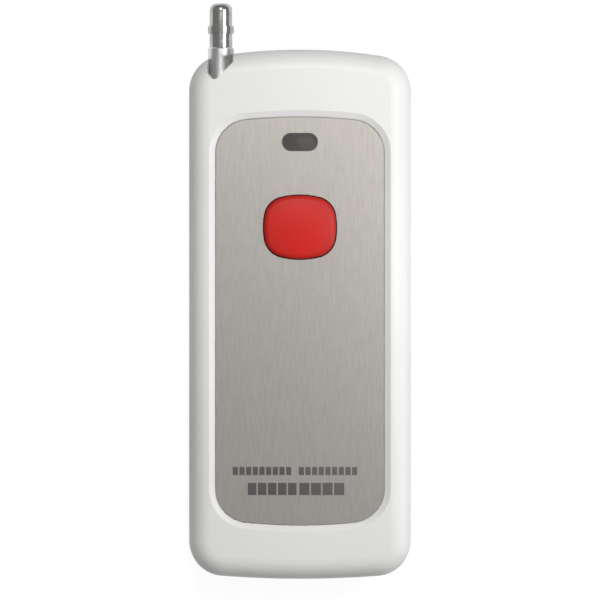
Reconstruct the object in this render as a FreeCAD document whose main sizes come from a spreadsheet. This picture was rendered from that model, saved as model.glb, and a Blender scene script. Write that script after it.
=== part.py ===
import FreeCAD, Part
import math
import os

import Sketcher
from FreeCAD import Placement, Rotation, Vector

# A single-button long-range radio remote control, lying on its back.
# X runs across the case, Y towards the telescopic antenna and Z out of the front face.
# The origin is on the flat back, at the middle of the case's width and length.
# The case is two moulded shells that meet at a seam. A silver panel lies in a recess of the
# front shell, with the red button and a dark indicator window in it. Inside are a circuit
# board screwed to the front shell, and a battery in a bay closed by a sliding door.
# Sizes are in millimetres and degrees.

SIZES = {
    # Case outline, edges and walls
    "case_width": 50.0,
    "case_length": 119.0,
    "case_head_arch_radius": 117.0,
    "case_tail_arch_radius": 230.0,
    "case_corner_radius": 8.0,
    "case_lean": 2.5,
    "front_edge_radius": 4.5,
    "rear_edge_radius": 4.0,
    "wall": 2.0,
    "parting_height": 10.2,
    "seam_groove": 0.3,
    "tongue_thickness": 0.9,
    "tongue_depth": 1.2,
    "seam_clearance": 0.1,
    # Recess in the front and the panel that lies in it
    "recess_depth": 1.2,
    "recess_floor": 1.6,
    "lip_width": 1.3,
    "lip_drop": 0.8,
    "panel_side_border": 6.2,
    "panel_top_border": 15.5,
    "panel_bottom_border": 12.5,
    "panel_arch_radius": 120.0,
    "panel_corner_radius": 7.5,
    "panel_thickness": 0.6,
    "panel_gap": 0.15,
    "panel_edge_chamfer": 0.15,
    # Indicator window and the lamp under it
    "window_width": 8.0,
    "window_height": 4.0,
    "window_from_panel_top": 5.6,
    "window_flange": 0.8,
    "window_flange_thickness": 0.7,
    "window_proud": 0.2,
    "lamp_length": 3.2,
    "lamp_width": 1.6,
    "lamp_height": 1.1,
    # Button
    "button_width": 16.2,
    "button_height": 14.2,
    "button_from_panel_top": 24.6,
    "button_side_radius": 16.0,
    "button_end_radius": 18.0,
    "button_corner_radius": 4.8,
    "button_dome_radius": 60.0,
    "button_edge_radius": 1.2,
    "button_proud": 0.8,
    "button_gap": 0.2,
    "button_wall": 1.3,
    "button_crown": 1.4,
    "button_flange": 1.1,
    "button_flange_thickness": 1.1,
    "button_slack": 0.05,
    "button_travel": 0.6,
    "stem_radius": 1.5,
    "stem_length": 0.4,
    "guide_gap": 0.25,
    "guide_wall": 0.9,
    # Push switch under the button
    "switch_side": 6.0,
    "switch_height": 4.3,
    "switch_body_height": 3.1,
    "switch_cover_thickness": 0.3,
    "plunger_radius": 1.75,
    "plunger_flange": 0.45,
    "plunger_flange_height": 0.7,
    "plunger_clearance": 0.1,
    "switch_leg_width": 0.7,
    "switch_leg_thickness": 0.3,
    "switch_leg_spacing": 4.5,
    "leg_length_below": 0.8,
    # Circuit board
    "board_thickness": 1.6,
    "board_gap": 0.3,
    "board_side_gap": 1.8,
    "board_top_gap": 13.0,
    "board_bottom_gap": 8.0,
    "board_boss_gap": 0.6,
    "board_post_x": 13.5,
    "board_post_top_inset": 21.0,
    "board_post_bottom_inset": 19.0,
    "board_post_radius": 2.2,
    "board_screw_radius": 0.8,
    "board_screw_head_radius": 1.8,
    "board_screw_head_height": 1.1,
    "board_screw_bite": 0.6,
    # Case screws and their bosses
    "boss_radius": 2.9,
    "boss_foot_radius": 3.6,
    "boss_bush_gap": 0.6,
    "boss_top_inset": 9.0,
    "boss_side_inset": 6.5,
    "boss_bottom_inset": 8.5,
    "screw_radius": 0.85,
    "screw_head_radius": 2.1,
    "screw_head_height": 1.5,
    "screw_head_room": 0.4,
    "screw_seat_height": 4.2,
    "screw_bite": 5.5,
    "screw_hole_clearance": 0.25,
    "cross_width": 0.55,
    "cross_depth": 0.7,
    # Battery, its bay and its contacts
    "battery_diameter": 10.3,
    "battery_length": 28.5,
    "battery_nipple_radius": 2.0,
    "battery_nipple_length": 1.0,
    "battery_clearance": 0.2,
    "bay_half_width": 9.0,
    "bay_wall": 1.0,
    "bay_end_y": -13.0,
    "bay_front_gap": 0.75,
    "cradle_thickness": 1.2,
    "cradle_inset": 7.0,
    "contact_thickness": 0.4,
    "contact_width": 9.0,
    "contact_drop": 4.2,
    "contact_tail_width": 2.0,
    "contact_rise": 1.0,
    "slot_clearance": 0.15,
    "spring_length": 4.2,
    "spring_wire_radius": 0.3,
    "spring_base_radius": 3.5,
    "spring_nose_radius": 2.2,
    "spring_turns": 3.0,
    # Battery door
    "door_clearance": 0.15,
    "door_end_height": 6.0,
    "door_end_depth": 2.6,
    "door_rail_width": 0.75,
    "door_rail_height": 0.6,
    "door_rail_low": 0.9,
    "door_rail_clearance": 0.07,
    "door_rail_end_gap": 7.0,
    "door_tongue_width": 7.0,
    "door_tongue_reach": 2.0,
    "grip_groove_radius": 0.55,
    "grip_groove_length": 11.0,
    "grip_groove_pitch": 1.8,
    "grip_from_end": 5.0,
    # Telescopic antenna
    "antenna_inset": 7.2,
    "antenna_radius": 2.6,
    "antenna_rim_from_case_end": 3.6,
    "tube_length": 70.0,
    "tube_wall": 0.2,
    "tube_gap": 0.16,
    "tube_slip": 0.04,
    "tube_lip_length": 1.2,
    "tube_foot_length": 3.0,
    "tip_gap": 0.05,
    "tip_flange_radius": 3.0,
    "tip_flange_length": 1.6,
    "tip_length": 5.2,
    "tip_bore_depth": 4.0,
    "tip_round": 1.5,
    # Antenna bush and the notch in the corner that it stands in
    "bush_radius": 2.95,
    "bush_above_case_end": 0.4,
    "bush_flange_radius": 4.0,
    "bush_flange_thickness": 1.4,
    "bush_chamfer": 0.2,
    "notch_half_width": 2.5,
    "notch_depth": 6.9,
    "notch_left_depth": 5.4,
    "notch_right_depth": 2.95,
    "notch_tip_offset": 1.3,
    "notch_reach": 3.0,
    "notch_drop": 3.4,
    "notch_flare": 2.0,
    "notch_corner_radius": 0.5,
    "notch_wall": 1.4,
    # Antenna foot and its fixing to the board
    "foot_plug_length": 5.0,
    "foot_tongue_length": 9.0,
    "foot_tongue_width": 4.4,
    "foot_tongue_thickness": 1.4,
    "foot_hole_inset": 3.6,
    "foot_screw_radius": 1.0,
    "foot_screw_head_radius": 1.9,
    "foot_screw_head_height": 1.3,
    "foot_nut_radius": 2.3,
    "foot_nut_height": 1.6,
    "spacer_radius": 2.2,
    "saddle_thickness": 1.2,
    "saddle_width": 8.0,
    "saddle_spacing": 34.0,
    "saddle_from_case_end": 19.0,
    # Parts on the board
    "chip_length": 10.0,
    "chip_width": 4.0,
    "chip_height": 1.5,
    "chip_pins_a_side": 8.0,
    "chip_pin_pitch": 1.27,
    "chip_pin_width": 0.4,
    "chip_pin_reach": 1.0,
    "chip_x": 11.0,
    "chip_y": -6.0,
    "resonator_radius": 4.5,
    "resonator_height": 3.2,
    "resonator_rim": 0.4,
    "resonator_x": 3.0,
    "resonator_y": 33.0,
    "capacitor_radius": 2.5,
    "capacitor_height": 7.0,
    "capacitor_edge_inset": 7.2,
    "capacitor_y": 8.0,
    "coil_wire_radius": 0.3,
    "coil_radius": 1.7,
    "coil_turns": 5.0,
    "coil_pitch": 0.9,
    "coil_x": -8.0,
    "coil_y": 24.5,
    "trimmer_radius": 3.0,
    "trimmer_height": 2.2,
    "trimmer_x": 10.0,
    "trimmer_y": 21.0,
    "transistor_radius": 2.3,
    "transistor_height": 4.6,
    "transistor_flat": 1.3,
    "transistor_x": -5.0,
    "transistor_y": 10.0,
    "chip_part_length": 2.0,
    "chip_part_width": 1.25,
    "resistor_height": 0.5,
    "ceramic_height": 0.9,
    "chip_part_pitch": 3.2,
    "resistor_row_x": -12.0,
    "resistor_row_y": -30.0,
    "ceramic_row_x": 9.0,
    "ceramic_row_y": 5.5,
}
TUBES = 4
RESISTORS = 6
CERAMICS = 4

doc = FreeCAD.newDocument("remote_control")
sheet = doc.addObject("Spreadsheet::Sheet", "Sizes")
for row, (alias, size) in enumerate(SIZES.items(), start=1):
    sheet.set(f"A{row}", alias)
    sheet.set(f"B{row}", str(size))
    sheet.setAlias(f"B{row}", alias)
doc.recompute()

# Heights that follow from what is stacked between the back and the front face.
PARTING = "Sizes.parting_height"
BATTERY_HEIGHT = "(Sizes.wall + Sizes.battery_clearance + Sizes.battery_diameter / 2)"
BAY_CEILING = "(Sizes.wall + 2 * Sizes.battery_clearance + Sizes.battery_diameter)"
BAY_TOP = f"({BAY_CEILING} + Sizes.bay_wall)"
BOARD_UNDER = f"({BAY_TOP} + Sizes.board_gap)"
BOARD_TOP = f"({BOARD_UNDER} + Sizes.board_thickness)"
PLUNGER_TOP = f"({BOARD_TOP} + Sizes.switch_height)"
BUTTON_CEILING = f"({PLUNGER_TOP} + Sizes.stem_length)"
CROWN = f"({BUTTON_CEILING} + Sizes.button_crown)"
FACE = f"({CROWN} - Sizes.button_proud)"
RECESS = f"({FACE} - Sizes.recess_depth)"
PANEL_TOP = f"({RECESS} + Sizes.panel_thickness)"
CEILING = f"({RECESS} - Sizes.recess_floor)"

# Places along and across the case.
CASE_END = "(Sizes.case_length / 2)"
CASE_SIDE = "(Sizes.case_width / 2)"
PANEL_WIDTH = "(Sizes.case_width - 2 * Sizes.panel_side_border)"
PANEL_LENGTH = "(Sizes.case_length - Sizes.panel_top_border - Sizes.panel_bottom_border)"
PANEL_MIDDLE = "((Sizes.panel_bottom_border - Sizes.panel_top_border) / 2)"
PANEL_HEAD = f"({CASE_END} - Sizes.panel_top_border)"
BUTTON_Y = f"({PANEL_HEAD} - Sizes.button_from_panel_top)"
WINDOW_Y = f"({PANEL_HEAD} - Sizes.window_from_panel_top)"
BOARD_SIDE = f"({CASE_SIDE} - Sizes.wall - Sizes.board_side_gap)"
BOARD_HEAD = f"({CASE_END} - Sizes.wall - Sizes.board_top_gap)"
BOARD_TAIL = f"(-{CASE_END} + Sizes.wall + Sizes.board_bottom_gap)"
ANTENNA_X = f"(-{CASE_SIDE} + Sizes.antenna_inset)"
ANTENNA_RIM = f"({CASE_END} + Sizes.antenna_rim_from_case_end)"
ANTENNA_BASE = f"({ANTENNA_RIM} - Sizes.tube_length)"
BUSH_SEAT = f"({CASE_END} - Sizes.notch_depth - Sizes.notch_wall)"
FOOT_HOLE_Y = f"({ANTENNA_BASE} - Sizes.foot_tongue_length + Sizes.foot_hole_inset)"
BAY_END = "Sizes.bay_end_y"
SPRING_BACK = f"({BAY_END} - Sizes.contact_thickness)"
BATTERY_HEAD = f"({SPRING_BACK} - Sizes.spring_length)"
BATTERY_TAIL = f"({BATTERY_HEAD} - Sizes.battery_length)"
PLATE_BACK = f"({BATTERY_TAIL} - Sizes.contact_thickness)"
BAY_FRONT = f"(-{CASE_END} + Sizes.wall + Sizes.bay_front_gap)"
DOOR_WALL = f"(-{CASE_END} + Sizes.door_end_depth)"
RAIL_TOP = "(Sizes.door_rail_low + Sizes.door_rail_height)"
BOSS_X = f"(-{ANTENNA_X} - Sizes.bush_flange_radius - Sizes.boss_bush_gap - Sizes.boss_foot_radius)"
BOSSES = (
    (BOSS_X, f"({CASE_END} - Sizes.boss_top_inset)"),
    (f"-{BOSS_X}", f"({CASE_END} - Sizes.boss_top_inset)"),
    (f"({CASE_SIDE} - Sizes.boss_side_inset)", f"(-{CASE_END} + Sizes.boss_bottom_inset)"),
    (f"(-{CASE_SIDE} + Sizes.boss_side_inset)", f"(-{CASE_END} + Sizes.boss_bottom_inset)"),
)
POSTS = tuple(
    (x, y)
    for y in (
        f"({CASE_END} - Sizes.board_post_top_inset)",
        f"(-{CASE_END} + Sizes.board_post_bottom_inset)",
    )
    for x in ("Sizes.board_post_x", "-Sizes.board_post_x")
)

TO_Y = Rotation(Vector(1, 0, 0), -90)
TO_X = Rotation(Vector(0, 1, 0), 90)
PAST = "1.0"  # how far a cutting tool runs past the face that it opens
ROOT = "0.2"  # how far a joined piece reaches into the wall that it grows from


def number(expression):
    """The value of an expression on the sheet."""
    return float(sheet.evalExpression(expression))


def place(thing, x, y, z, turn=None):
    """Puts a thing where three expressions say."""
    if turn is not None:
        thing.Placement = Placement(Vector(), turn)
    for axis, expression in zip("xyz", (x, y, z)):
        thing.setExpression(f"Placement.Base.{axis}", expression)
    return thing


def block(label, x, y, z):
    """A box from the first to the second expression of each pair."""
    made = doc.addObject("Part::Box", label)
    for side, (low, high) in zip(("Length", "Width", "Height"), (x, y, z)):
        made.setExpression(side, f"({high}) - ({low})")
    return place(made, x[0], y[0], z[0])


def rod(label, radius, x, y, z, length, turn=None):
    """A cylinder that starts at a point and runs up Z, or along the axis that turn gives."""
    made = doc.addObject("Part::Cylinder", label)
    made.setExpression("Radius", radius)
    made.setExpression("Height", length)
    return place(made, x, y, z, turn)


def rod_up(label, radius, x, y, low, high):
    """A cylinder along Z between two heights."""
    return rod(label, radius, x, y, low, f"({high}) - ({low})")


def fused(label, *things):
    """One solid made of several that meet."""
    made = doc.addObject("Part::MultiFuse", label)
    made.Shapes = list(things)
    made.Refine = True
    return made


def common(label, *things):
    """What several solids share."""
    made = doc.addObject("Part::MultiCommon", label)
    made.Shapes = list(things)
    return made


def cut(label, base, *tools):
    """A solid with tools taken out of it."""
    made = doc.addObject("Part::Cut", label)
    made.Base = base
    made.Tool = tools[0] if len(tools) == 1 else fused(label + "_tools", *tools)
    made.Refine = True
    return made


def group(label, things):
    """Like pieces that stay separate solids in one node."""
    made = doc.addObject("Part::Compound", label)
    made.Links = list(things)
    return made


def edges_of(feature, test):
    return [f"Edge{i}" for i, edge in enumerate(feature.Shape.Edges, start=1) if test(edge)]


def faces_of(feature, test):
    return [f"Face{i}" for i, face in enumerate(feature.Shape.Faces, start=1) if test(face)]


def at_height(height):
    """A test for the edges or faces that lie flat at a height."""
    flat = 0.01
    return lambda piece: (
        abs(piece.BoundBox.ZMin - height) < flat and abs(piece.BoundBox.ZMax - height) < flat
    )


def upright(piece):
    """A test for the edges or faces that are not level."""
    return piece.BoundBox.ZLength > 0.05


def sketch_on(body, label, shift=("0", "0", "0")):
    """A sketch on the body's own XY plane, moved by three expressions."""
    sketch = body.newObject("Sketcher::SketchObject", label)
    plane = next(part for part in body.Origin.OriginFeatures if part.Role == "XY_Plane")
    sketch.AttachmentSupport = [(plane, "")]
    sketch.MapMode = "FlatFace"
    for axis, expression in zip("xyz", shift):
        sketch.setExpression(f"AttachmentOffset.Base.{axis}", expression)
    return sketch


def bind(sketch, name, constraint, expression):
    """Adds a named constraint whose value follows an expression."""
    index = sketch.addConstraint(constraint)
    sketch.renameConstraint(index, name)
    sketch.setExpression(f"Constraints.{name}", expression)


def arched_outline(sketch, width, length, head_arch, tail_arch):
    """Straight sides and arched ends: two lines and two arcs, centred on the sketch's origin."""
    rule = Sketcher.Constraint
    half_width, half_length = number(width) / 2, number(length) / 2
    head, tail = (
        half_length - number(arch) + math.sqrt(number(arch)**2 - half_width**2)
        for arch in (head_arch, tail_arch)
    )
    left_tail, left_head = Vector(-half_width, -tail, 0), Vector(-half_width, head, 0)
    right_tail, right_head = Vector(half_width, -tail, 0), Vector(half_width, head, 0)
    head_top, tail_low = Vector(0, half_length, 0), Vector(0, -half_length, 0)
    sketch.addGeometry(Part.LineSegment(left_tail, left_head))
    sketch.addGeometry(Part.Arc(right_head, head_top, left_head))
    sketch.addGeometry(Part.LineSegment(right_head, right_tail))
    sketch.addGeometry(Part.Arc(left_tail, tail_low, right_tail))
    sketch.addConstraint([
        rule("Coincident", 0, 2, 1, 2), rule("Coincident", 1, 1, 2, 1),
        rule("Coincident", 2, 2, 3, 2), rule("Coincident", 3, 1, 0, 1),
        rule("Vertical", 0), rule("Vertical", 2),
        rule("PointOnObject", 1, 3, -2), rule("PointOnObject", 3, 3, -2),
    ])
    bind(sketch, "head_arch", rule("Radius", 1, number(head_arch)), head_arch)
    bind(sketch, "tail_arch", rule("Radius", 3, number(tail_arch)), tail_arch)
    bind(sketch, "left_side", rule("DistanceX", 0, 1, -1, 1, half_width), f"({width}) / 2")
    bind(sketch, "right_side", rule("DistanceX", -1, 1, 2, 1, half_width), f"({width}) / 2")
    bind(sketch, "head_corner", rule("DistanceY", -1, 1, 0, 2, head),
         arch_corner(width, length, head_arch))
    bind(sketch, "tail_corner", rule("DistanceY", 0, 1, -1, 1, tail),
         arch_corner(width, length, tail_arch))


def arch_corner(width, length, arch):
    """How far from the middle a straight side ends and the arch begins."""
    return f"({length}) / 2 - ({arch}) + sqrt(({arch})^2 - ({width})^2 / 4)"


def profile(sketch, points):
    """A closed run of straight lines through points, each given by two expressions."""
    rule = Sketcher.Constraint
    places = [Vector(number(x), number(y), 0) for x, y in points]
    count = len(points)
    for i in range(count):
        sketch.addGeometry(Part.LineSegment(places[i], places[(i + 1) % count]))
    for i in range(count):
        sketch.addConstraint(rule("Coincident", i, 2, (i + 1) % count, 1))
    for i, (x, y) in enumerate(points):
        bind(sketch, f"across_{i}", rule("DistanceX", -1, 1, i, 1, places[i].x), x)
        bind(sketch, f"along_{i}", rule("DistanceY", -1, 1, i, 1, places[i].y), y)


def padded(body, label, sketch, height, downwards=False):
    pad = body.newObject("PartDesign::Pad", label)
    pad.Profile = sketch
    pad.setExpression("Length", height)
    pad.Reversed = downwards
    doc.recompute()
    return pad


def rounded(body, label, base, test, radius):
    """Rounds the edges of the base that pass a test."""
    fillet = body.newObject("PartDesign::Fillet", label)
    fillet.Base = (base, edges_of(base, test))
    fillet.setExpression("Radius", radius)
    doc.recompute()
    return fillet


def chamfered(body, label, base, test, size):
    chamfer = body.newObject("PartDesign::Chamfer", label)
    chamfer.Base = (base, edges_of(base, test))
    chamfer.setExpression("Size", size)
    doc.recompute()
    return chamfer


def turned(label, points, x=ANTENNA_X, z=PARTING):
    """A solid of revolution about a line along Y. Points are distance from that line, and Y."""
    body = doc.addObject("PartDesign::Body", label)
    sketch = sketch_on(body, label + "_profile", (x, "0", z))
    profile(sketch, points)
    revolution = body.newObject("PartDesign::Revolution", label + "_turn")
    revolution.Profile = sketch
    revolution.ReferenceAxis = (sketch, ["V_Axis"])
    revolution.Angle = 360
    doc.recompute()
    return body, revolution


# Case forms: the outline of the case, drawn at the seam and leaning in away from it.


def case_form(label, inset, far, edge_radius=None, seam_chamfer=None):
    """The case's shape between the seam and a far height, set in by inset all round."""
    body = doc.addObject("PartDesign::Body", label)
    sketch = sketch_on(body, label + "_outline", ("0", "0", PARTING))
    arched_outline(
        sketch,
        f"(Sizes.case_width - 2 * ({inset}))",
        f"(Sizes.case_length - 2 * ({inset}))",
        f"(Sizes.case_head_arch_radius - ({inset}))",
        f"(Sizes.case_tail_arch_radius - ({inset}))",
    )
    downwards = number(far) < number(PARTING)
    height = f"({PARTING}) - ({far})" if downwards else f"({far}) - ({PARTING})"
    form = padded(body, label + "_pad", sketch, height, downwards)
    form = rounded(body, label + "_corners", form, upright, f"Sizes.case_corner_radius - ({inset})")
    lean = body.newObject("PartDesign::Draft", label + "_lean")
    lean.Base = (form, faces_of(form, upright))
    lean.NeutralPlane = (form, faces_of(form, at_height(number(PARTING))))
    lean.Reversed = downwards
    lean.setExpression("Angle", "Sizes.case_lean")
    doc.recompute()
    form = lean
    if edge_radius:
        form = rounded(body, label + "_edge", form, at_height(number(far)), edge_radius)
    if seam_chamfer:
        chamfered(body, label + "_seam", form, at_height(number(PARTING)), seam_chamfer)
    return body


def panel_form(label, grow, low, high, flare=False, edge_chamfer=None):
    """The panel's outline between two heights, larger by grow all round. With flare, its sides
    slope outwards as the lip of the recess does."""
    body = doc.addObject("PartDesign::Body", label)
    sketch = sketch_on(body, label + "_outline", ("0", PANEL_MIDDLE, low))
    width, length = f"({PANEL_WIDTH} + 2 * ({grow}))", f"({PANEL_LENGTH} + 2 * ({grow}))"
    arch = f"(Sizes.panel_arch_radius + ({grow}))"
    arched_outline(sketch, width, length, arch, arch)
    form = padded(body, label + "_pad", sketch, f"({high}) - ({low})")
    form = rounded(
        body, label + "_corners", form, upright, f"Sizes.panel_corner_radius + ({grow})"
    )
    if flare:
        slope = body.newObject("PartDesign::Draft", label + "_flare")
        slope.Base = (form, faces_of(form, upright))
        slope.NeutralPlane = (form, faces_of(form, at_height(number(low))))
        slope.Reversed = True
        slope.setExpression("Angle", "atan(Sizes.lip_width / Sizes.lip_drop)")
        doc.recompute()
    if edge_chamfer:
        chamfered(body, label + "_rim", form, at_height(number(high)), edge_chamfer)
    return body


def button_form(label, grow, low, high, edge_radius=None):
    """The button's four-sided bulging outline between two heights, larger by grow all round."""
    body = doc.addObject("PartDesign::Body", label)
    sketch = sketch_on(body, label + "_outline", ("0", BUTTON_Y, low))
    bulging_outline(
        sketch,
        f"(Sizes.button_width + 2 * ({grow}))",
        f"(Sizes.button_height + 2 * ({grow}))",
        f"(Sizes.button_side_radius + ({grow}))",
        f"(Sizes.button_end_radius + ({grow}))",
    )
    form = padded(body, label + "_pad", sketch, f"({high}) - ({low})")
    form = rounded(
        body, label + "_corners", form, upright, f"Sizes.button_corner_radius + ({grow})"
    )
    if edge_radius:
        rounded(body, label + "_edge", form, at_height(number(high)), edge_radius)
    return body


def bulging_outline(sketch, width, height, side_arch, end_arch):
    """Four arcs, one a side, centred on the sketch's origin. They cross at four sharp corners."""
    rule = Sketcher.Constraint
    half_width, half_height = number(width) / 2, number(height) / 2
    side, end = number(side_arch), number(end_arch)
    # Where the right-hand arc and the top arc cross, found by a short fixed-point loop.
    across, along = half_width, half_height
    for _ in range(60):
        across = half_width - side + math.sqrt(side**2 - along**2)
        along = half_height - end + math.sqrt(end**2 - across**2)
    for centre, radius, first, last in (
        (Vector(half_width - side, 0, 0), side, (across, -along), (across, along)),
        (Vector(0, half_height - end, 0), end, (across, along), (-across, along)),
        (Vector(side - half_width, 0, 0), side, (-across, along), (-across, -along)),
        (Vector(0, end - half_height, 0), end, (-across, -along), (across, -along)),
    ):
        begin, finish = (
            math.atan2(point[1] - centre.y, point[0] - centre.x) for point in (first, last)
        )
        if finish < begin:
            finish += 2 * math.pi
        circle = Part.Circle(centre, Vector(0, 0, 1), radius)
        sketch.addGeometry(Part.ArcOfCircle(circle, begin, finish))
    for i in range(4):
        sketch.addConstraint(rule("Coincident", i, 2, (i + 1) % 4, 1))
    for i, axis in ((0, -1), (1, -2), (2, -1), (3, -2)):
        sketch.addConstraint(rule("PointOnObject", i, 3, axis))
    reach_x, reach_y = side - half_width, end - half_height
    bind(sketch, "right_arch", rule("Radius", 0, side), side_arch)
    bind(sketch, "top_arch", rule("Radius", 1, end), end_arch)
    bind(sketch, "left_arch", rule("Radius", 2, side), side_arch)
    bind(sketch, "bottom_arch", rule("Radius", 3, end), end_arch)
    across_rule, along_rule = f"({side_arch}) - ({width}) / 2", f"({end_arch}) - ({height}) / 2"
    bind(sketch, "right_centre", rule("DistanceX", 0, 3, -1, 1, reach_x), across_rule)
    bind(sketch, "left_centre", rule("DistanceX", -1, 1, 2, 3, reach_x), across_rule)
    bind(sketch, "top_centre", rule("DistanceY", 1, 3, -1, 1, reach_y), along_rule)
    bind(sketch, "bottom_centre", rule("DistanceY", -1, 1, 3, 3, reach_y), along_rule)


def window_form(label, grow, low, high):
    """The window's outline, straight sides and round ends, between two heights."""
    radius = f"(Sizes.window_height / 2 + ({grow}))"
    reach = "(Sizes.window_width / 2 - Sizes.window_height / 2)"
    middle = block(
        label + "_middle",
        (f"-{reach}", reach),
        (f"{WINDOW_Y} - {radius}", f"{WINDOW_Y} + {radius}"),
        (low, high),
    )
    ends = [
        rod_up(f"{label}_end_{side}", radius, x, WINDOW_Y, low, high)
        for side, x in (("left", f"-{reach}"), ("right", reach))
    ]
    return fused(label, middle, *ends)


# Screws: a round head with a cross recess, and a plain shank up from the seat.


def screw(label, x, y, seat, tip, shank, head, head_height):
    """One screw put in from below, its head under the seat height."""
    head_low = f"{seat} - {head_height}"
    arm = "(Sizes.cross_width / 2)"
    reach = f"({head} * 0.6)"
    body = fused(
        label + "_blank",
        rod_up(label + "_head", head, x, y, head_low, seat),
        rod_up(label + "_shank", shank, x, y, seat, tip),
    )
    deep = (f"{head_low} - {PAST}", f"{head_low} + Sizes.cross_depth")
    long_x, long_y = (f"{x} - {reach}", f"{x} + {reach}"), (f"{y} - {reach}", f"{y} + {reach}")
    slim_x, slim_y = (f"{x} - {arm}", f"{x} + {arm}"), (f"{y} - {arm}", f"{y} + {arm}")
    return cut(
        label,
        body,
        block(label + "_slot_a", long_x, slim_y, deep),
        block(label + "_slot_b", slim_x, long_y, deep),
    )


def case_screws():
    screws = [
        screw(
            f"case_screw_{i}", x, y, "Sizes.screw_seat_height", f"{PARTING} + Sizes.screw_bite",
            "Sizes.screw_radius", "Sizes.screw_head_radius", "Sizes.screw_head_height",
        )
        for i, (x, y) in enumerate(BOSSES, start=1)
    ]
    return group("case_screws", screws)


def board_screws():
    screws = [
        screw(
            f"board_screw_{i}", x, y, BOARD_UNDER, f"{CEILING} + Sizes.board_screw_bite",
            "Sizes.board_screw_radius", "Sizes.board_screw_head_radius",
            "Sizes.board_screw_head_height",
        )
        for i, (x, y) in enumerate(POSTS, start=1)
    ]
    return group("board_screws", screws)


# The two shells of the case.


def seam_ring(label, outer_inset, inner_inset, far):
    """A thin wall round the inside of the seam, from the seam to a far height."""
    return cut(
        label,
        case_form(label + "_outer", outer_inset, far),
        case_form(label + "_inner", inner_inset, far),
    )


def bush_hole(label):
    """The round way through the corner that the antenna bush is clamped in."""
    start = f"{BUSH_SEAT} - {PAST}"
    return rod(label, "Sizes.bush_radius", ANTENNA_X, start, PARTING, f"{ANTENNA_RIM} - ({start})", TO_Y)


def notch_form(label):
    """The open notch in the corner that shows the bush. It is pointed, and widens upwards."""
    body = doc.addObject("PartDesign::Body", label)
    low = f"({PARTING} - Sizes.notch_drop)"
    sketch = sketch_on(body, label + "_outline", (ANTENNA_X, CASE_END, low))
    profile(sketch, [
        ("Sizes.notch_half_width", "Sizes.notch_reach"),
        ("-Sizes.notch_half_width", "Sizes.notch_reach"),
        ("-Sizes.notch_half_width", "-Sizes.notch_left_depth"),
        ("-Sizes.notch_tip_offset", "-Sizes.notch_depth"),
        ("Sizes.notch_half_width", "-Sizes.notch_right_depth"),
    ])
    form = padded(body, label + "_pad", sketch, f"{FACE} - {low} + {PAST}")
    case_end = number(CASE_END)
    form = rounded(
        body, label + "_corners", form,
        lambda edge: upright(edge) and edge.BoundBox.YMax < case_end, "Sizes.notch_corner_radius",
    )
    flare = body.newObject("PartDesign::Draft", label + "_flare")
    flare.Base = (form, faces_of(form, upright))
    flare.NeutralPlane = (form, faces_of(form, at_height(number(low))))
    flare.Reversed = True
    flare.setExpression("Angle", "Sizes.notch_flare")
    doc.recompute()
    return body


def corner_block(label, outer, low, high):
    """The part of a shell's corner that is left thick around the notch and the bush."""
    side = f"{ANTENNA_X} + Sizes.notch_half_width + 2 * Sizes.notch_wall"
    return common(
        label,
        outer,
        block(label + "_box", (f"-{CASE_SIDE}", side), (BUSH_SEAT, CASE_END), (low, high)),
    )


def front_cover():
    outer = case_form(
        "front_outside", "0", FACE, "Sizes.front_edge_radius", "Sizes.seam_groove"
    )
    inner = case_form("front_inside", "Sizes.wall", CEILING, "Sizes.front_edge_radius - Sizes.wall")
    shell = cut("front_shell", outer, inner)
    tongue = seam_ring(
        "front_tongue", "Sizes.wall - Sizes.tongue_thickness", "Sizes.wall",
        f"({PARTING} - Sizes.tongue_depth)",
    )
    bosses = [
        rod_up(f"front_boss_{i}", "Sizes.boss_radius", x, y, PARTING, f"{CEILING} + {PAST}")
        for i, (x, y) in enumerate(BOSSES, start=1)
    ]
    posts = [
        rod_up(f"board_post_{i}", "Sizes.board_post_radius", x, y, BOARD_TOP, f"{CEILING} + {PAST}")
        for i, (x, y) in enumerate(POSTS, start=1)
    ]
    guide_in = "(Sizes.button_flange + Sizes.guide_gap)"
    guide_low = f"({CEILING} - Sizes.button_flange_thickness - Sizes.button_slack)"
    guide = cut(
        "button_guide",
        button_form("guide_outer", f"({guide_in} + Sizes.guide_wall)", guide_low, f"{CEILING} + {ROOT}"),
        button_form("guide_inner", guide_in, f"{guide_low} - {PAST}", CEILING),
    )
    corner = corner_block("front_corner", outer, PARTING, FACE)
    body = fused("front_cover_blank", shell, tongue, *bosses, *posts, guide, corner)
    pilots = [
        rod_up(
            f"front_pilot_{i}", "Sizes.screw_radius", x, y,
            f"{PARTING} - {PAST}", f"{PARTING} + Sizes.screw_bite + 0.3",
        )
        for i, (x, y) in enumerate(BOSSES, start=1)
    ]
    post_pilots = [
        rod_up(
            f"post_pilot_{i}", "Sizes.board_screw_radius", x, y,
            f"{BOARD_TOP} - {PAST}", f"{CEILING} + Sizes.board_screw_bite + 0.1",
        )
        for i, (x, y) in enumerate(POSTS, start=1)
    ]
    past_face = f"{FACE} + {PAST}"
    return cut(
        "front_cover",
        body,
        panel_form("recess_floor_cut", "Sizes.panel_gap", RECESS, past_face),
        panel_form("recess_lip_cut", "Sizes.panel_gap", f"({FACE} - Sizes.lip_drop)", past_face, True),
        button_form("front_button_hole", "Sizes.button_gap", f"{CEILING} - {ROOT}", past_face),
        window_form("front_window_hole", "0", f"{CEILING} - {PAST}", past_face),
        notch_form("front_notch"),
        bush_hole("front_bush_hole"),
        *pilots,
        *post_pilots,
    )


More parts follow.
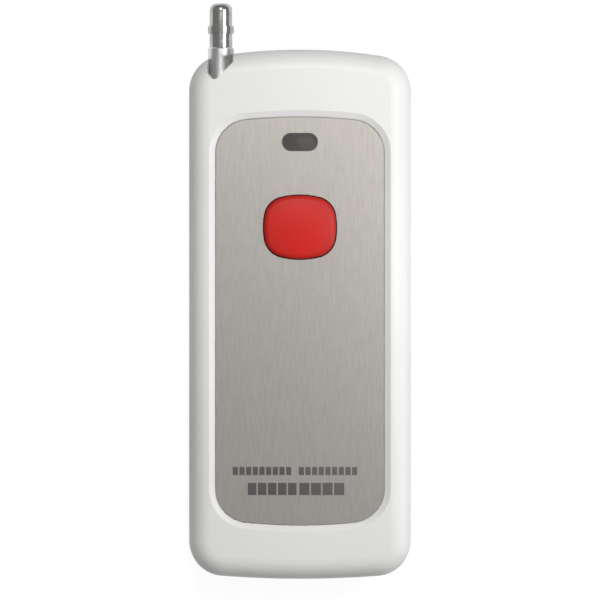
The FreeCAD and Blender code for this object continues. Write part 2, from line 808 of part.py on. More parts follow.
def rear_cover():
    outer = case_form("rear_outside", "0", "0", "Sizes.rear_edge_radius", "Sizes.seam_groove")
    inner = case_form(
        "rear_inside", "Sizes.wall", "Sizes.wall", "Sizes.rear_edge_radius - Sizes.wall"
    )
    shell = cut("rear_shell", outer, inner)
    bosses = [
        rod_up(f"rear_boss_{i}", "Sizes.boss_foot_radius", x, y, "Sizes.wall / 2", PARTING)
        for i, (x, y) in enumerate(BOSSES, start=1)
    ]
    corner = corner_block("rear_corner", outer, "0", PARTING)
    bay_side = "(Sizes.bay_half_width + Sizes.bay_wall)"
    bay_across, bay_back = (f"-{bay_side}", bay_side), f"{BAY_END} + Sizes.bay_wall"
    bay = [
        block("bay_lower", bay_across, (f"-{CASE_END} + Sizes.wall", bay_back),
              (f"Sizes.wall - {ROOT}", PARTING)),
        block("bay_upper", bay_across, (BAY_FRONT, bay_back), (PARTING, BAY_TOP)),
    ]
    saddles = [
        block(
            f"saddle_{i}",
            (f"{ANTENNA_X} - Sizes.saddle_width / 2", f"{ANTENNA_X} + Sizes.saddle_width / 2"),
            (y, f"{y} + Sizes.saddle_thickness"),
            ("Sizes.wall / 2", PARTING),
        )
        for i, y in enumerate(
            (
                f"({CASE_END} - Sizes.saddle_from_case_end)",
                f"({CASE_END} - Sizes.saddle_from_case_end - Sizes.saddle_spacing)",
            ),
            start=1,
        )
    ]
    body = fused("rear_cover_blank", shell, *bosses, corner, *bay, *saddles)
    across = ("-Sizes.bay_half_width", "Sizes.bay_half_width")
    inside = cut(
        "bay_inside",
        block("bay_hollow", across, (f"{BAY_FRONT} + Sizes.bay_wall", BAY_END),
              (f"-{PAST}", BAY_CEILING)),
        *bay_walls(),
    )
    door_way = block(
        "door_way", across, (f"-{CASE_END} - {PAST}", f"{BAY_FRONT} + Sizes.bay_wall + {ROOT}"),
        (f"-{PAST}", "Sizes.door_end_height + Sizes.door_clearance"),
    )
    rail_reach = (
        "(Sizes.bay_half_width - Sizes.door_clearance + Sizes.door_rail_width"
        " + Sizes.door_rail_clearance)"
    )
    rail_low = "Sizes.door_rail_low - Sizes.door_rail_clearance"
    groove = block(
        "door_groove", (f"-{rail_reach}", rail_reach), (f"-{CASE_END} - {PAST}", BAY_END),
        (rail_low, f"{RAIL_TOP} + Sizes.door_rail_clearance"),
    )
    half_slot = "(Sizes.door_tongue_width / 2 + Sizes.door_clearance)"
    tongue_slot = block(
        "tongue_slot", (f"-{half_slot}", half_slot),
        (f"{BAY_END} - {ROOT}", f"{BAY_END} + Sizes.door_tongue_reach + Sizes.door_clearance"),
        (rail_low, f"Sizes.wall + {ROOT}"),
    )
    seats = [
        rod_up(f"screw_seat_{i}", "Sizes.screw_head_radius + Sizes.screw_head_room", x, y,
               f"-{PAST}", "Sizes.screw_seat_height")
        for i, (x, y) in enumerate(BOSSES, start=1)
    ]
    ways = [
        rod_up(f"screw_way_{i}", "Sizes.screw_radius + Sizes.screw_hole_clearance", x, y,
               f"-{PAST}", f"{PARTING} + {PAST}")
        for i, (x, y) in enumerate(BOSSES, start=1)
    ]
    rebate = seam_ring(
        "rear_rebate", "Sizes.wall - Sizes.tongue_thickness - Sizes.seam_clearance",
        "Sizes.wall + Sizes.seam_clearance",
        f"({PARTING} - Sizes.tongue_depth - Sizes.seam_clearance)",
    )
    tube_way = rod("saddle_way", "Sizes.antenna_radius", ANTENNA_X, "0", PARTING, BUSH_SEAT, TO_Y)
    return cut(
        "rear_cover", body, inside, door_way, groove, tongue_slot, rebate, *contact_slots("bay"),
        notch_form("rear_notch"), bush_hole("rear_bush_hole"), tube_way, *seats, *ways,
    )


def bay_walls():
    """Walls left standing in the bay: two that hold the battery and one behind its contact."""
    reach = (f"-Sizes.bay_half_width - {ROOT}", f"Sizes.bay_half_width + {ROOT}")
    top = f"{BAY_CEILING} + {ROOT}"
    lows = (
        f"({BATTERY_HEAD} - Sizes.cradle_inset)",
        f"({BATTERY_TAIL} + Sizes.cradle_inset - Sizes.cradle_thickness)",
    )
    bore = rod("battery_way", "Sizes.battery_diameter / 2 + Sizes.battery_clearance", "0",
               BATTERY_TAIL, BATTERY_HEIGHT, "Sizes.battery_length", TO_Y)
    cradles = [
        cut(
            f"cradle_{i}",
            block(f"cradle_wall_{i}", reach, (low, f"{low} + Sizes.cradle_thickness"),
                  (BATTERY_HEIGHT, top)),
            bore,
        )
        for i, low in enumerate(lows, start=1)
    ]
    backstop = block(
        "contact_wall", reach, (f"{PLATE_BACK} - Sizes.cradle_thickness", PLATE_BACK),
        ("Sizes.wall + 2 * Sizes.door_clearance", top),
    )
    return [*cradles, backstop]


def battery_door():
    side = "(Sizes.bay_half_width - Sizes.door_clearance)"
    head = f"({BAY_END} - Sizes.door_clearance)"
    plate = common(
        "door_plate",
        case_form("door_outside", "0", "0", "Sizes.rear_edge_radius"),
        block("door_limit", (f"-{side}", side), (f"-{CASE_END} - {PAST}", head),
              ("0", "Sizes.door_end_height")),
    )
    hollow = block(
        "door_hollow", (f"-{side} - {PAST}", f"{side} + {PAST}"),
        (f"{DOOR_WALL} - Sizes.door_clearance", f"{head} + {PAST}"),
        ("Sizes.wall", f"Sizes.door_end_height + {PAST}"),
    )
    rails = block(
        "door_rails",
        (f"-({side} + Sizes.door_rail_width)", f"{side} + Sizes.door_rail_width"),
        (f"-{CASE_END} + Sizes.door_rail_end_gap", f"{head} - Sizes.door_clearance"),
        ("Sizes.door_rail_low", RAIL_TOP),
    )
    tongue = block(
        "door_tongue", ("-Sizes.door_tongue_width / 2", "Sizes.door_tongue_width / 2"),
        (f"{head} - {PAST}", f"{head} + Sizes.door_tongue_reach"), ("Sizes.door_rail_low", RAIL_TOP),
    )
    blank = fused("door_blank", cut("door_tray", plate, hollow), rails, tongue)
    grooves = [
        rod(
            f"grip_groove_{i}", "Sizes.grip_groove_radius", "-Sizes.grip_groove_length / 2",
            f"{head} - Sizes.grip_from_end - {i} * Sizes.grip_groove_pitch", "0",
            "Sizes.grip_groove_length", TO_X,
        )
        for i in range(5)
    ]
    return cut("battery_door", blank, *grooves)


# The panel, the window and the button.


def front_panel():
    return cut(
        "front_panel",
        panel_form("panel_plate", "0", RECESS, PANEL_TOP, edge_chamfer="Sizes.panel_edge_chamfer"),
        button_form("panel_button_hole", "Sizes.button_gap", f"{RECESS} - {PAST}",
                    f"{PANEL_TOP} + {PAST}"),
        window_form("panel_window_hole", "0", f"{RECESS} - {PAST}", f"{PANEL_TOP} + {PAST}"),
    )


def led_window():
    return fused(
        "led_window",
        window_form("window_lens", "0", f"{CEILING} - 0.1", f"{PANEL_TOP} + Sizes.window_proud"),
        window_form("window_flange_ring", "Sizes.window_flange",
                    f"{CEILING} - Sizes.window_flange_thickness", CEILING),
    )


def button_cap():
    under_ceiling = f"({CEILING} - Sizes.button_slack)"
    flange_low = f"({under_ceiling} - Sizes.button_flange_thickness)"
    dome = doc.addObject("Part::Sphere", "button_dome")
    dome.setExpression("Radius", "Sizes.button_dome_radius")
    place(dome, "0", BUTTON_Y, f"{CROWN} - Sizes.button_dome_radius")
    crowned = common("button_crowned", button_form("button_side", "0", flange_low, CROWN), dome)
    doc.recompute()
    softened = doc.addObject("Part::Fillet", "button_softened")
    softened.Base = crowned
    top = number(PANEL_TOP)
    radius = number("Sizes.button_edge_radius")
    softened.Edges = [
        (i, radius, radius)
        for i, edge in enumerate(crowned.Shape.Edges, start=1)
        if edge.BoundBox.ZMin > top
    ]
    blank = fused(
        "button_blank",
        softened,
        button_form("button_flange_plate", "Sizes.button_flange", flange_low, under_ceiling),
    )
    hollow = button_form("button_hollow", "-Sizes.button_wall", f"{flange_low} - {PAST}",
                         BUTTON_CEILING)
    stem = rod_up("button_stem", "Sizes.stem_radius", "0", BUTTON_Y,
                  f"{PLUNGER_TOP} + Sizes.button_slack", f"{BUTTON_CEILING} + {ROOT}")
    return fused("button_cap", cut("button_shell", blank, hollow), stem)


# The push switch: body with legs, metal cover and plunger.


def switch_body():
    half = "(Sizes.switch_side / 2)"
    body = block("switch_block", (f"-{half}", half), (f"{BUTTON_Y} - {half}", f"{BUTTON_Y} + {half}"),
                 (BOARD_TOP, f"{BOARD_TOP} + Sizes.switch_body_height"))
    bore = rod_up(
        "switch_bore", "Sizes.plunger_radius + Sizes.plunger_flange + Sizes.plunger_clearance",
        "0", BUTTON_Y,
        f"{BOARD_TOP} + Sizes.switch_body_height - Sizes.plunger_flange_height"
        " - Sizes.button_travel - 4 * Sizes.button_slack",
        f"{BOARD_TOP} + Sizes.switch_body_height + {PAST}",
    )
    legs = [
        block(
            f"switch_leg_{i}", x,
            (f"{y} - Sizes.switch_leg_width / 2", f"{y} + Sizes.switch_leg_width / 2"),
            (f"{BOARD_UNDER} - Sizes.leg_length_below", f"{BOARD_TOP} + Sizes.switch_body_height / 2"),
        )
        for i, (x, y) in enumerate(switch_legs(), start=1)
    ]
    return fused("switch_body", cut("switch_bored", body, bore), *legs)


def switch_legs():
    """The span across and the middle along of each of the switch's four legs."""
    half = "Sizes.switch_side / 2"
    spans = (
        (f"{half}", f"{half} + Sizes.switch_leg_thickness"),
        (f"-{half} - Sizes.switch_leg_thickness", f"-{half}"),
    )
    return [
        (span, f"({BUTTON_Y} + {side} * Sizes.switch_leg_spacing / 2)")
        for span in spans
        for side in ("1", "-1")
    ]


def switch_cover():
    half = "(Sizes.switch_side / 2)"
    low = f"{BOARD_TOP} + Sizes.switch_body_height"
    plate = block("switch_plate", (f"-{half}", half), (f"{BUTTON_Y} - {half}", f"{BUTTON_Y} + {half}"),
                  (low, f"{low} + Sizes.switch_cover_thickness"))
    hole = rod_up("switch_plate_hole", "Sizes.plunger_radius + Sizes.plunger_clearance", "0",
                  BUTTON_Y, f"{low} - {PAST}", f"{low} + {PAST}")
    return cut("switch_cover", plate, hole)


def switch_plunger():
    top_of_flange = f"({BOARD_TOP} + Sizes.switch_body_height - Sizes.button_slack)"
    flange_low = f"({top_of_flange} - Sizes.plunger_flange_height)"
    return fused(
        "switch_plunger",
        rod_up("plunger_pin", "Sizes.plunger_radius", "0", BUTTON_Y, flange_low, PLUNGER_TOP),
        rod_up("plunger_disc", "Sizes.plunger_radius + Sizes.plunger_flange", "0", BUTTON_Y,
               flange_low, top_of_flange),
    )


# The circuit board and what is soldered to it.


def contact_slots(label):
    """Slots for the tails of the two battery contacts, through the bay's ceiling or the board."""
    half = "(Sizes.contact_tail_width / 2 + Sizes.slot_clearance)"
    low, high = (BAY_CEILING, BOARD_UNDER) if label == "bay" else (BOARD_UNDER, BOARD_TOP)
    return [
        block(
            f"{label}_slot_{name}", (f"-{half}", half),
            (f"{back} - Sizes.slot_clearance",
             f"{back} + Sizes.contact_thickness + Sizes.slot_clearance"),
            (f"{low} - 0.1", f"{high} + 0.1"),
        )
        for name, back in (("plus", PLATE_BACK), ("minus", SPRING_BACK))
    ]


def circuit_board():
    plate = block("board_plate", (f"-{BOARD_SIDE}", BOARD_SIDE), (BOARD_TAIL, BOARD_HEAD),
                  (BOARD_UNDER, BOARD_TOP))
    low, high = f"{BOARD_UNDER} - {PAST}", f"{BOARD_TOP} + {PAST}"
    notches = [
        rod_up(f"board_notch_{i}", "Sizes.boss_radius + Sizes.board_boss_gap", x, y, low, high)
        for i, (x, y) in enumerate(BOSSES, start=1)
    ]
    screw_holes = [
        rod_up(f"board_hole_{i}", "Sizes.board_screw_radius + Sizes.slot_clearance", x, y, low, high)
        for i, (x, y) in enumerate(POSTS, start=1)
    ]
    leg_holes = [
        rod_up(f"leg_hole_{i}", "Sizes.switch_leg_width / 2 + Sizes.slot_clearance",
               f"({span[0]} + {span[1]}) / 2", y, low, high)
        for i, (span, y) in enumerate(switch_legs(), start=1)
    ]
    foot_hole = rod_up("board_foot_hole", "Sizes.foot_screw_radius", ANTENNA_X, FOOT_HOLE_Y, low, high)
    return cut("circuit_board", plate, *notches, *screw_holes, *leg_holes, foot_hole,
               *contact_slots("board"))


def status_lamp():
    half_length, half_width = "(Sizes.lamp_length / 2)", "(Sizes.lamp_width / 2)"
    base = block("lamp_base", (f"-{half_length}", half_length),
                 (f"{WINDOW_Y} - {half_width}", f"{WINDOW_Y} + {half_width}"),
                 (BOARD_TOP, f"{BOARD_TOP} + Sizes.lamp_height / 2"))
    lens = rod_up("lamp_lens", "Sizes.lamp_width * 0.45", "0", WINDOW_Y,
                  f"{BOARD_TOP} + Sizes.lamp_height / 2", f"{BOARD_TOP} + Sizes.lamp_height")
    return fused("status_lamp", base, lens)


def encoder_chip():
    half_length, half_width = "(Sizes.chip_length / 2)", "(Sizes.chip_width / 2)"
    x, y = "Sizes.chip_x", "Sizes.chip_y"
    low = f"{BOARD_TOP} + 0.1"
    body = block("chip_block", (f"{x} - {half_width}", f"{x} + {half_width}"),
                 (f"{y} - {half_length}", f"{y} + {half_length}"), (low, f"{low} + Sizes.chip_height"))
    pins = []
    count = int(number("Sizes.chip_pins_a_side"))
    for i in range(count):
        middle = f"({y} + {i - (count - 1) / 2} * Sizes.chip_pin_pitch)"
        reach = f"({half_width} + Sizes.chip_pin_reach)"
        along = (f"{middle} - Sizes.chip_pin_width / 2", f"{middle} + Sizes.chip_pin_width / 2")
        pins.append(block(f"chip_foot_{i}", (f"{x} - {reach}", f"{x} + {reach}"), along,
                          (BOARD_TOP, f"{BOARD_TOP} + 0.2")))
    return fused("encoder_chip", body, *pins)


def saw_resonator():
    x, y = "Sizes.resonator_x", "Sizes.resonator_y"
    low = f"{BOARD_UNDER} - Sizes.resonator_height"
    return fused(
        "saw_resonator",
        rod_up("resonator_can", "Sizes.resonator_radius - Sizes.resonator_rim", x, y, low, BOARD_UNDER),
        rod_up("resonator_base", "Sizes.resonator_radius", x, y,
               f"{BOARD_UNDER} - Sizes.resonator_rim", BOARD_UNDER),
    )


def electrolytic_capacitor():
    x, y = f"({BOARD_SIDE} - Sizes.capacitor_edge_inset)", "Sizes.capacitor_y"
    can = rod_up("capacitor_can", "Sizes.capacitor_radius", x, y,
                 f"{BOARD_UNDER} - Sizes.capacitor_height", BOARD_UNDER)
    ring = doc.addObject("Part::Torus", "capacitor_ring")
    ring.setExpression("Radius1", "Sizes.capacitor_radius + 0.1")
    ring.setExpression("Radius2", "0.3")
    place(ring, x, y, f"{BOARD_UNDER} - 1.1")
    return cut("electrolytic_capacitor", can, ring)


def trimmer_capacitor():
    x, y = "Sizes.trimmer_x", "Sizes.trimmer_y"
    low = f"({BOARD_UNDER} - Sizes.trimmer_height)"
    body = rod_up("trimmer_body", "Sizes.trimmer_radius", x, y, low, BOARD_UNDER)
    slot = block("trimmer_slot", (f"{x} - Sizes.trimmer_radius * 0.6", f"{x} + Sizes.trimmer_radius * 0.6"),
                 (f"{y} - 0.3", f"{y} + 0.3"), (f"{low} - {PAST}", f"{low} + 0.5"))
    return cut("trimmer_capacitor", body, slot)


def output_transistor():
    x, y = "Sizes.transistor_x", "Sizes.transistor_y"
    low = f"{BOARD_UNDER} - Sizes.transistor_height"
    round_part = rod_up("transistor_round", "Sizes.transistor_radius", x, y, low, BOARD_UNDER)
    flat = block("transistor_flat_cut", (f"{x} - 4", f"{x} + 4"),
                 (f"{y} + Sizes.transistor_flat", f"{y} + 4"), (f"{low} - {PAST}", f"{BOARD_UNDER} + {PAST}"))
    return cut("output_transistor", round_part, flat)


def chip_parts(label, count, x, y, height):
    """A row of small surface-mounted parts on the board's front."""
    return group(
        label,
        [
            block(f"{label}_{i}", (x, f"{x} + Sizes.chip_part_length"),
                  (f"{y} + {i} * Sizes.chip_part_pitch",
                   f"{y} + {i} * Sizes.chip_part_pitch + Sizes.chip_part_width"),
                  (BOARD_TOP, f"{BOARD_TOP} + {height}"))
            for i in range(count)
        ],
    )


def coiled_wire(label, base_radius, nose_radius, length, turns, wire, start, direction):
    """Round wire wound into a helix, cylindrical or conical, from a point along a direction."""
    pitch = length / turns
    lean = math.degrees(math.atan((nose_radius - base_radius) / length))
    path = Part.makeHelix(pitch, length, base_radius, lean)
    section = Part.Wire(Part.Circle(Vector(base_radius, 0, 0), Vector(0, 1, 0), wire).toShape())
    made = doc.addObject("Part::Feature", label)
    made.Shape = Part.Wire(path.Edges).makePipeShell([section], True, True)
    made.Placement = Placement(start, Rotation(Vector(0, 0, 1), direction))
    return made


def tank_coil():
    length = number("Sizes.coil_turns * Sizes.coil_pitch")
    radius, wire = number("Sizes.coil_radius"), number("Sizes.coil_wire_radius")
    start = Vector(
        number("Sizes.coil_x"), number("Sizes.coil_y"), number(BOARD_UNDER) - radius - wire
    )
    return coiled_wire("tank_coil", radius, radius, length, number("Sizes.coil_turns"), wire, start,
                       Vector(1, 0, 0))


# The battery and its contacts.


def battery():
    radius = "(Sizes.battery_diameter / 2)"
    shoulder = f"({BATTERY_TAIL} + Sizes.battery_nipple_length)"
    body, turn = turned(
        "battery",
        [
            ("0", BATTERY_TAIL),
            ("Sizes.battery_nipple_radius", BATTERY_TAIL),
            ("Sizes.battery_nipple_radius", shoulder),
            (radius, shoulder),
            (radius, BATTERY_HEAD),
            ("0", BATTERY_HEAD),
        ],
        "0",
        BATTERY_HEIGHT,
    )
    rim = number(radius)
    rounded(body, "battery_rims", turn,
            lambda edge: abs(edge.BoundBox.XMax - rim) < 0.01 and edge.BoundBox.YLength < 0.01, "0.4")
    return body


def contact_plate(label, back):
    """A flat spring-metal contact with a tail that goes up through the board."""
    half, tail = "(Sizes.contact_width / 2)", "(Sizes.contact_tail_width / 2)"
    span = (back, f"{back} + Sizes.contact_thickness")
    return fused(
        label,
        block(label + "_face", (f"-{half}", half), span,
              (f"{BATTERY_HEIGHT} - Sizes.contact_drop", f"{BATTERY_HEIGHT} + {half}")),
        block(label + "_tail", (f"-{tail}", tail), span,
              (BATTERY_HEIGHT, f"{BOARD_TOP} + Sizes.contact_rise")),
    )


def negative_spring():
    wire = number("Sizes.spring_wire_radius")
    start = Vector(0, number(SPRING_BACK) - wire, number(BATTERY_HEIGHT))
    return coiled_wire(
        "negative_spring", number("Sizes.spring_base_radius"), number("Sizes.spring_nose_radius"),
        number("Sizes.spring_length") - 2 * wire, number("Sizes.spring_turns"), wire, start,
        Vector(0, -1, 0),
    )


# The telescopic antenna: a fixed tube, sliding tubes inside it, and a rod with a tip.


def tube_radius(index):
    """Outside radius of the fixed tube, index 0, and of each tube inside it in turn."""
    return f"(Sizes.antenna_radius - {index} * (Sizes.tube_wall + Sizes.tube_gap))"


def tube_bore(index):
    return f"({tube_radius(index)} - Sizes.tube_wall)"


def antenna_tube(index):
    """One tube, with an inward lip at its top. A sliding tube has a wider foot that the lip of
    the tube around it stops."""
    outside, bore = tube_radius(index), tube_bore(index)
    lip = f"({tube_radius(index + 1)} + Sizes.tube_slip)"
    lip_low = f"({ANTENNA_RIM} - Sizes.tube_lip_length)"
    if index == 0:
        low = ANTENNA_BASE
        points = [(bore, low), (outside, low)]
    else:
        low = f"({ANTENNA_BASE} + Sizes.foot_plug_length + {index} * Sizes.tip_gap)"
        foot = f"({tube_bore(index - 1)} - Sizes.tube_slip)"
        foot_top = f"({low} + Sizes.tube_foot_length)"
        points = [(bore, low), (foot, low), (foot, foot_top), (outside, foot_top)]
    points += [(outside, ANTENNA_RIM), (lip, ANTENNA_RIM), (lip, lip_low), (bore, lip_low)]
    label = "antenna_tube" if index == 0 else f"antenna_section_{index}"
    return turned(label, points)[0]


def antenna_rod():
    outside = tube_radius(TUBES)
    low = f"({ANTENNA_BASE} + Sizes.foot_plug_length + {TUBES} * Sizes.tip_gap)"
    foot = f"({tube_bore(TUBES - 1)} - Sizes.tube_slip)"
    foot_top = f"({low} + Sizes.tube_foot_length)"
    top = f"({ANTENNA_RIM} + Sizes.tip_gap + Sizes.tip_bore_depth)"
    return turned("antenna_rod", [("0", low), (foot, low), (foot, foot_top), (outside, foot_top),
                                  (outside, top), ("0", top)])[0]


def antenna_tip():
    low = f"({ANTENNA_RIM} + Sizes.tip_gap)"
    flange_top = f"({low} + Sizes.tip_flange_length)"
    end = f"({flange_top} + Sizes.tip_length)"
    bore, bore_end = tube_radius(TUBES), f"({low} + Sizes.tip_bore_depth)"
    body, turn = turned("antenna_tip", [
        (bore, low), ("Sizes.tip_flange_radius", low), ("Sizes.tip_flange_radius", flange_top),
        ("Sizes.antenna_radius", flange_top), ("Sizes.antenna_radius", end), ("0", end),
        ("0", bore_end), (bore, bore_end),
    ])
    end_y = number(end)
    rounded(body, "tip_round_end", turn,
            lambda edge: abs(edge.BoundBox.YMin - end_y) < 0.01 and edge.BoundBox.YLength < 0.01,
            "Sizes.tip_round")
    return body


def antenna_bush():
    seat_low = f"({BUSH_SEAT} - Sizes.bush_flange_thickness)"
    end = f"({CASE_END} + Sizes.bush_above_case_end)"
    bevel = f"({end} - Sizes.bush_chamfer)"
    return turned("antenna_bush", [
        ("Sizes.antenna_radius", seat_low), ("Sizes.bush_flange_radius", seat_low),
        ("Sizes.bush_flange_radius", BUSH_SEAT), ("Sizes.bush_radius", BUSH_SEAT),
        ("Sizes.bush_radius", bevel), ("Sizes.bush_radius - Sizes.bush_chamfer", end),
        ("Sizes.antenna_radius", end),
    ])[0]


def antenna_foot():
    """The plug pressed into the tube's lower end, with a flat tongue that is screwed down."""
    half = "(Sizes.foot_tongue_width / 2)"
    flat = "(Sizes.foot_tongue_thickness / 2)"
    plug = rod("foot_plug", tube_bore(0), ANTENNA_X, ANTENNA_BASE, PARTING,
               "Sizes.foot_plug_length", TO_Y)
    tongue = block("foot_tongue", (f"{ANTENNA_X} - {half}", f"{ANTENNA_X} + {half}"),
                   (f"{ANTENNA_BASE} - Sizes.foot_tongue_length", ANTENNA_BASE),
                   (f"{PARTING} - {flat}", f"{PARTING} + {flat}"))
    hole = rod_up("foot_hole", "Sizes.foot_screw_radius", ANTENNA_X, FOOT_HOLE_Y,
                  f"{PARTING} - {PAST}", f"{PARTING} + {PAST}")
    return cut("antenna_foot", fused("foot_blank", plug, tongue), hole)


def antenna_spacer():
    low = f"{PARTING} + Sizes.foot_tongue_thickness / 2"
    return cut(
        "antenna_spacer",
        rod_up("spacer_outside", "Sizes.spacer_radius", ANTENNA_X, FOOT_HOLE_Y, low, BOARD_UNDER),
        rod_up("spacer_bore", "Sizes.foot_screw_radius", ANTENNA_X, FOOT_HOLE_Y,
               f"{low} - {PAST}", f"{BOARD_UNDER} + {PAST}"),
    )


def antenna_screw():
    return screw(
        "antenna_screw", ANTENNA_X, FOOT_HOLE_Y, f"({PARTING} - Sizes.foot_tongue_thickness / 2)",
        f"{BOARD_TOP} + Sizes.foot_nut_height", "Sizes.foot_screw_radius",
        "Sizes.foot_screw_head_radius", "Sizes.foot_screw_head_height",
    )


def antenna_nut():
    prism = doc.addObject("Part::Prism", "nut_hexagon")
    prism.Polygon = 6
    prism.setExpression("Circumradius", "Sizes.foot_nut_radius")
    prism.setExpression("Height", "Sizes.foot_nut_height")
    place(prism, ANTENNA_X, FOOT_HOLE_Y, BOARD_TOP)
    bore = rod_up("nut_bore", "Sizes.foot_screw_radius", ANTENNA_X, FOOT_HOLE_Y,
                  f"{BOARD_TOP} - {PAST}", f"{BOARD_TOP} + Sizes.foot_nut_height + {PAST}")
    return cut("antenna_nut", prism, bore)


PIECES = [
    front_cover(),
    rear_cover(),
    battery_door(),
    front_panel(),
    led_window(),
    button_cap(),
    case_screws(),
    board_screws(),
    switch_body(),
    switch_cover(),
    switch_plunger(),
    circuit_board(),
    status_lamp(),
    encoder_chip(),
    saw_resonator(),
    electrolytic_capacitor(),
    trimmer_capacitor(),
    output_transistor(),
    chip_parts("chip_resistors", RESISTORS, "Sizes.resistor_row_x", "Sizes.resistor_row_y",
               "Sizes.resistor_height"),
    chip_parts("chip_capacitors", CERAMICS, "Sizes.ceramic_row_x", "Sizes.ceramic_row_y",
               "Sizes.ceramic_height"),
    tank_coil(),
    battery(),
    contact_plate("positive_contact", PLATE_BACK),
    contact_plate("negative_contact", SPRING_BACK),
    negative_spring(),
    *(antenna_tube(index) for index in range(TUBES)),
    antenna_rod(),
    antenna_tip(),
    antenna_bush(),
    antenna_foot(),
    antenna_spacer(),
    antenna_screw(),
    antenna_nut(),
]

doc.recompute()
for thing in doc.Objects:
    if "Invalid" in thing.State or "Error" in thing.State:
        raise RuntimeError(f"{thing.Label} failed: {thing.State}")
os.makedirs("parts", exist_ok=True)
for piece in PIECES:
    if piece.Shape.isNull() or not piece.Shape.isValid() or not piece.Shape.Solids:
        raise RuntimeError(f"{piece.Label} is not a sound solid")
    piece.Shape.exportStep(f"parts/{piece.Label}.step")
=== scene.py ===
import math

import bmesh
import bpy
from mathutils import Matrix, Vector


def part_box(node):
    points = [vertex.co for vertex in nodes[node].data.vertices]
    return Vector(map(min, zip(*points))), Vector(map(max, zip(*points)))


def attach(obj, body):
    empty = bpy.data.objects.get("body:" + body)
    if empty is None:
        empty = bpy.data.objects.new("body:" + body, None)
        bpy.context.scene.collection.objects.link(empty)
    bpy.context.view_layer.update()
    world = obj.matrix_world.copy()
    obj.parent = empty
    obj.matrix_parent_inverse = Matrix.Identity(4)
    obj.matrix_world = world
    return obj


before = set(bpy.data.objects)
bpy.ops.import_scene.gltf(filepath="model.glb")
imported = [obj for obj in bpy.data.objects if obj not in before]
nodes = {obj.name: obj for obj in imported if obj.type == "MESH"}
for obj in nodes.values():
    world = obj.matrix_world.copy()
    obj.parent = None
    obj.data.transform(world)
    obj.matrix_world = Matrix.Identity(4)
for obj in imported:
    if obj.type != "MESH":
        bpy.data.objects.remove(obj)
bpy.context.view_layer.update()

MM = 0.001
MICRON = 0.001 * MM

# Rear cover
# The lower half of the case: a shell of white moulded ABS, satin from a lightly spark-eroded
# tool. It carries the battery bay and is drawn to the front half by four screws. A little dust
# settles in the fine groove where the two halves meet.

SEAM_HEIGHT = 10.2 * MM
SEAM_DUST = (0.25, 0.235, 0.21)
SEAM_LINE, SEAM_SOFT = 0.08 * MM, 0.3 * MM
CLOUDS, GRAIN, SPECKS = 38.0, 5200.0, 2600.0  # cycles of the textures per metre
MIX_SHARE, MIX_FIRST, MIX_SECOND, MIX_COLOUR = 0, 6, 7, 2  # a Mix node's sockets for colours


def add_socket(tree, name, kind, direction, value=None):
    """Adds one named socket to a node group's outside."""
    made = tree.interface.new_socket(name, in_out=direction, socket_type=kind)
    if value is not None:
        made.default_value = value


def feed(tree, value, socket):
    """Links a value into a socket, or sets it there if it is a plain number or colour."""
    if isinstance(value, bpy.types.NodeSocket):
        tree.links.new(value, socket)
    elif isinstance(value, tuple):
        socket.default_value = (*value, 1.0)
    else:
        socket.default_value = value


def feed_named(tree, node, inputs):
    """Feeds a node's inputs by their names, written with underscores for spaces."""
    for label, value in inputs.items():
        feed(tree, value, node.inputs[label.replace("_", " ")])


def textured(tree, kind, scale, vector, **inputs):
    """A texture that reads a vector, with its scale in cycles per metre."""
    made = tree.nodes.new(kind)
    feed_named(tree, made, {"Vector": vector, "Scale": scale, **inputs})
    return made


def remapped(tree, value, low, high, to_low=0.0, to_high=1.0):
    """A value moved from one range to another, smoothly and held at the ends."""
    made = tree.nodes.new("ShaderNodeMapRange")
    made.interpolation_type = "SMOOTHSTEP"
    feed_named(tree, made, {
        "Value": value, "From Min": low, "From Max": high, "To Min": to_low, "To Max": to_high,
    })
    return made.outputs["Result"]


def mixed(tree, share, first, second):
    """Two colours mixed by a share. Each is a link or a plain colour."""
    made = tree.nodes.new("ShaderNodeMix")
    made.data_type = "RGBA"
    for index, value in ((MIX_SHARE, share), (MIX_FIRST, first), (MIX_SECOND, second)):
        feed(tree, value, made.inputs[index])
    return made.outputs[MIX_COLOUR]


def math_step(tree, operation, *values):
    """One step of arithmetic on links or plain numbers."""
    made = tree.nodes.new("ShaderNodeMath")
    made.operation = operation
    for socket, value in zip(made.inputs, values):
        feed(tree, value, socket)
    return made.outputs[0]


def distance(tree, value, centre):
    """How far a value is from a centre, on either side."""
    return math_step(tree, "ABSOLUTE", math_step(tree, "SUBTRACT", value, centre))


def split(tree, vector):
    """The three coordinates of a vector."""
    made = tree.nodes.new("ShaderNodeSeparateXYZ")
    tree.links.new(vector, made.inputs[0])
    return made.outputs


def effect_group(name, inputs):
    """An empty shader group with a Vector input and named numbers or colours. It puts out a
    colour, a roughness and a height."""
    tree = bpy.data.node_groups.new(name, "ShaderNodeTree")
    add_socket(tree, "Vector", "NodeSocketVector", "INPUT")
    for label, value in inputs.items():
        if isinstance(value, float):
            add_socket(tree, label, "NodeSocketFloat", "INPUT", value)
        else:
            add_socket(tree, label, "NodeSocketColor", "INPUT", (*value, 1.0))
    add_socket(tree, "Colour", "NodeSocketColor", "OUTPUT")
    for label in ("Roughness", "Height"):
        add_socket(tree, label, "NodeSocketFloat", "OUTPUT")
    return tree, tree.nodes.new("NodeGroupInput").outputs, tree.nodes.new("NodeGroupOutput").inputs


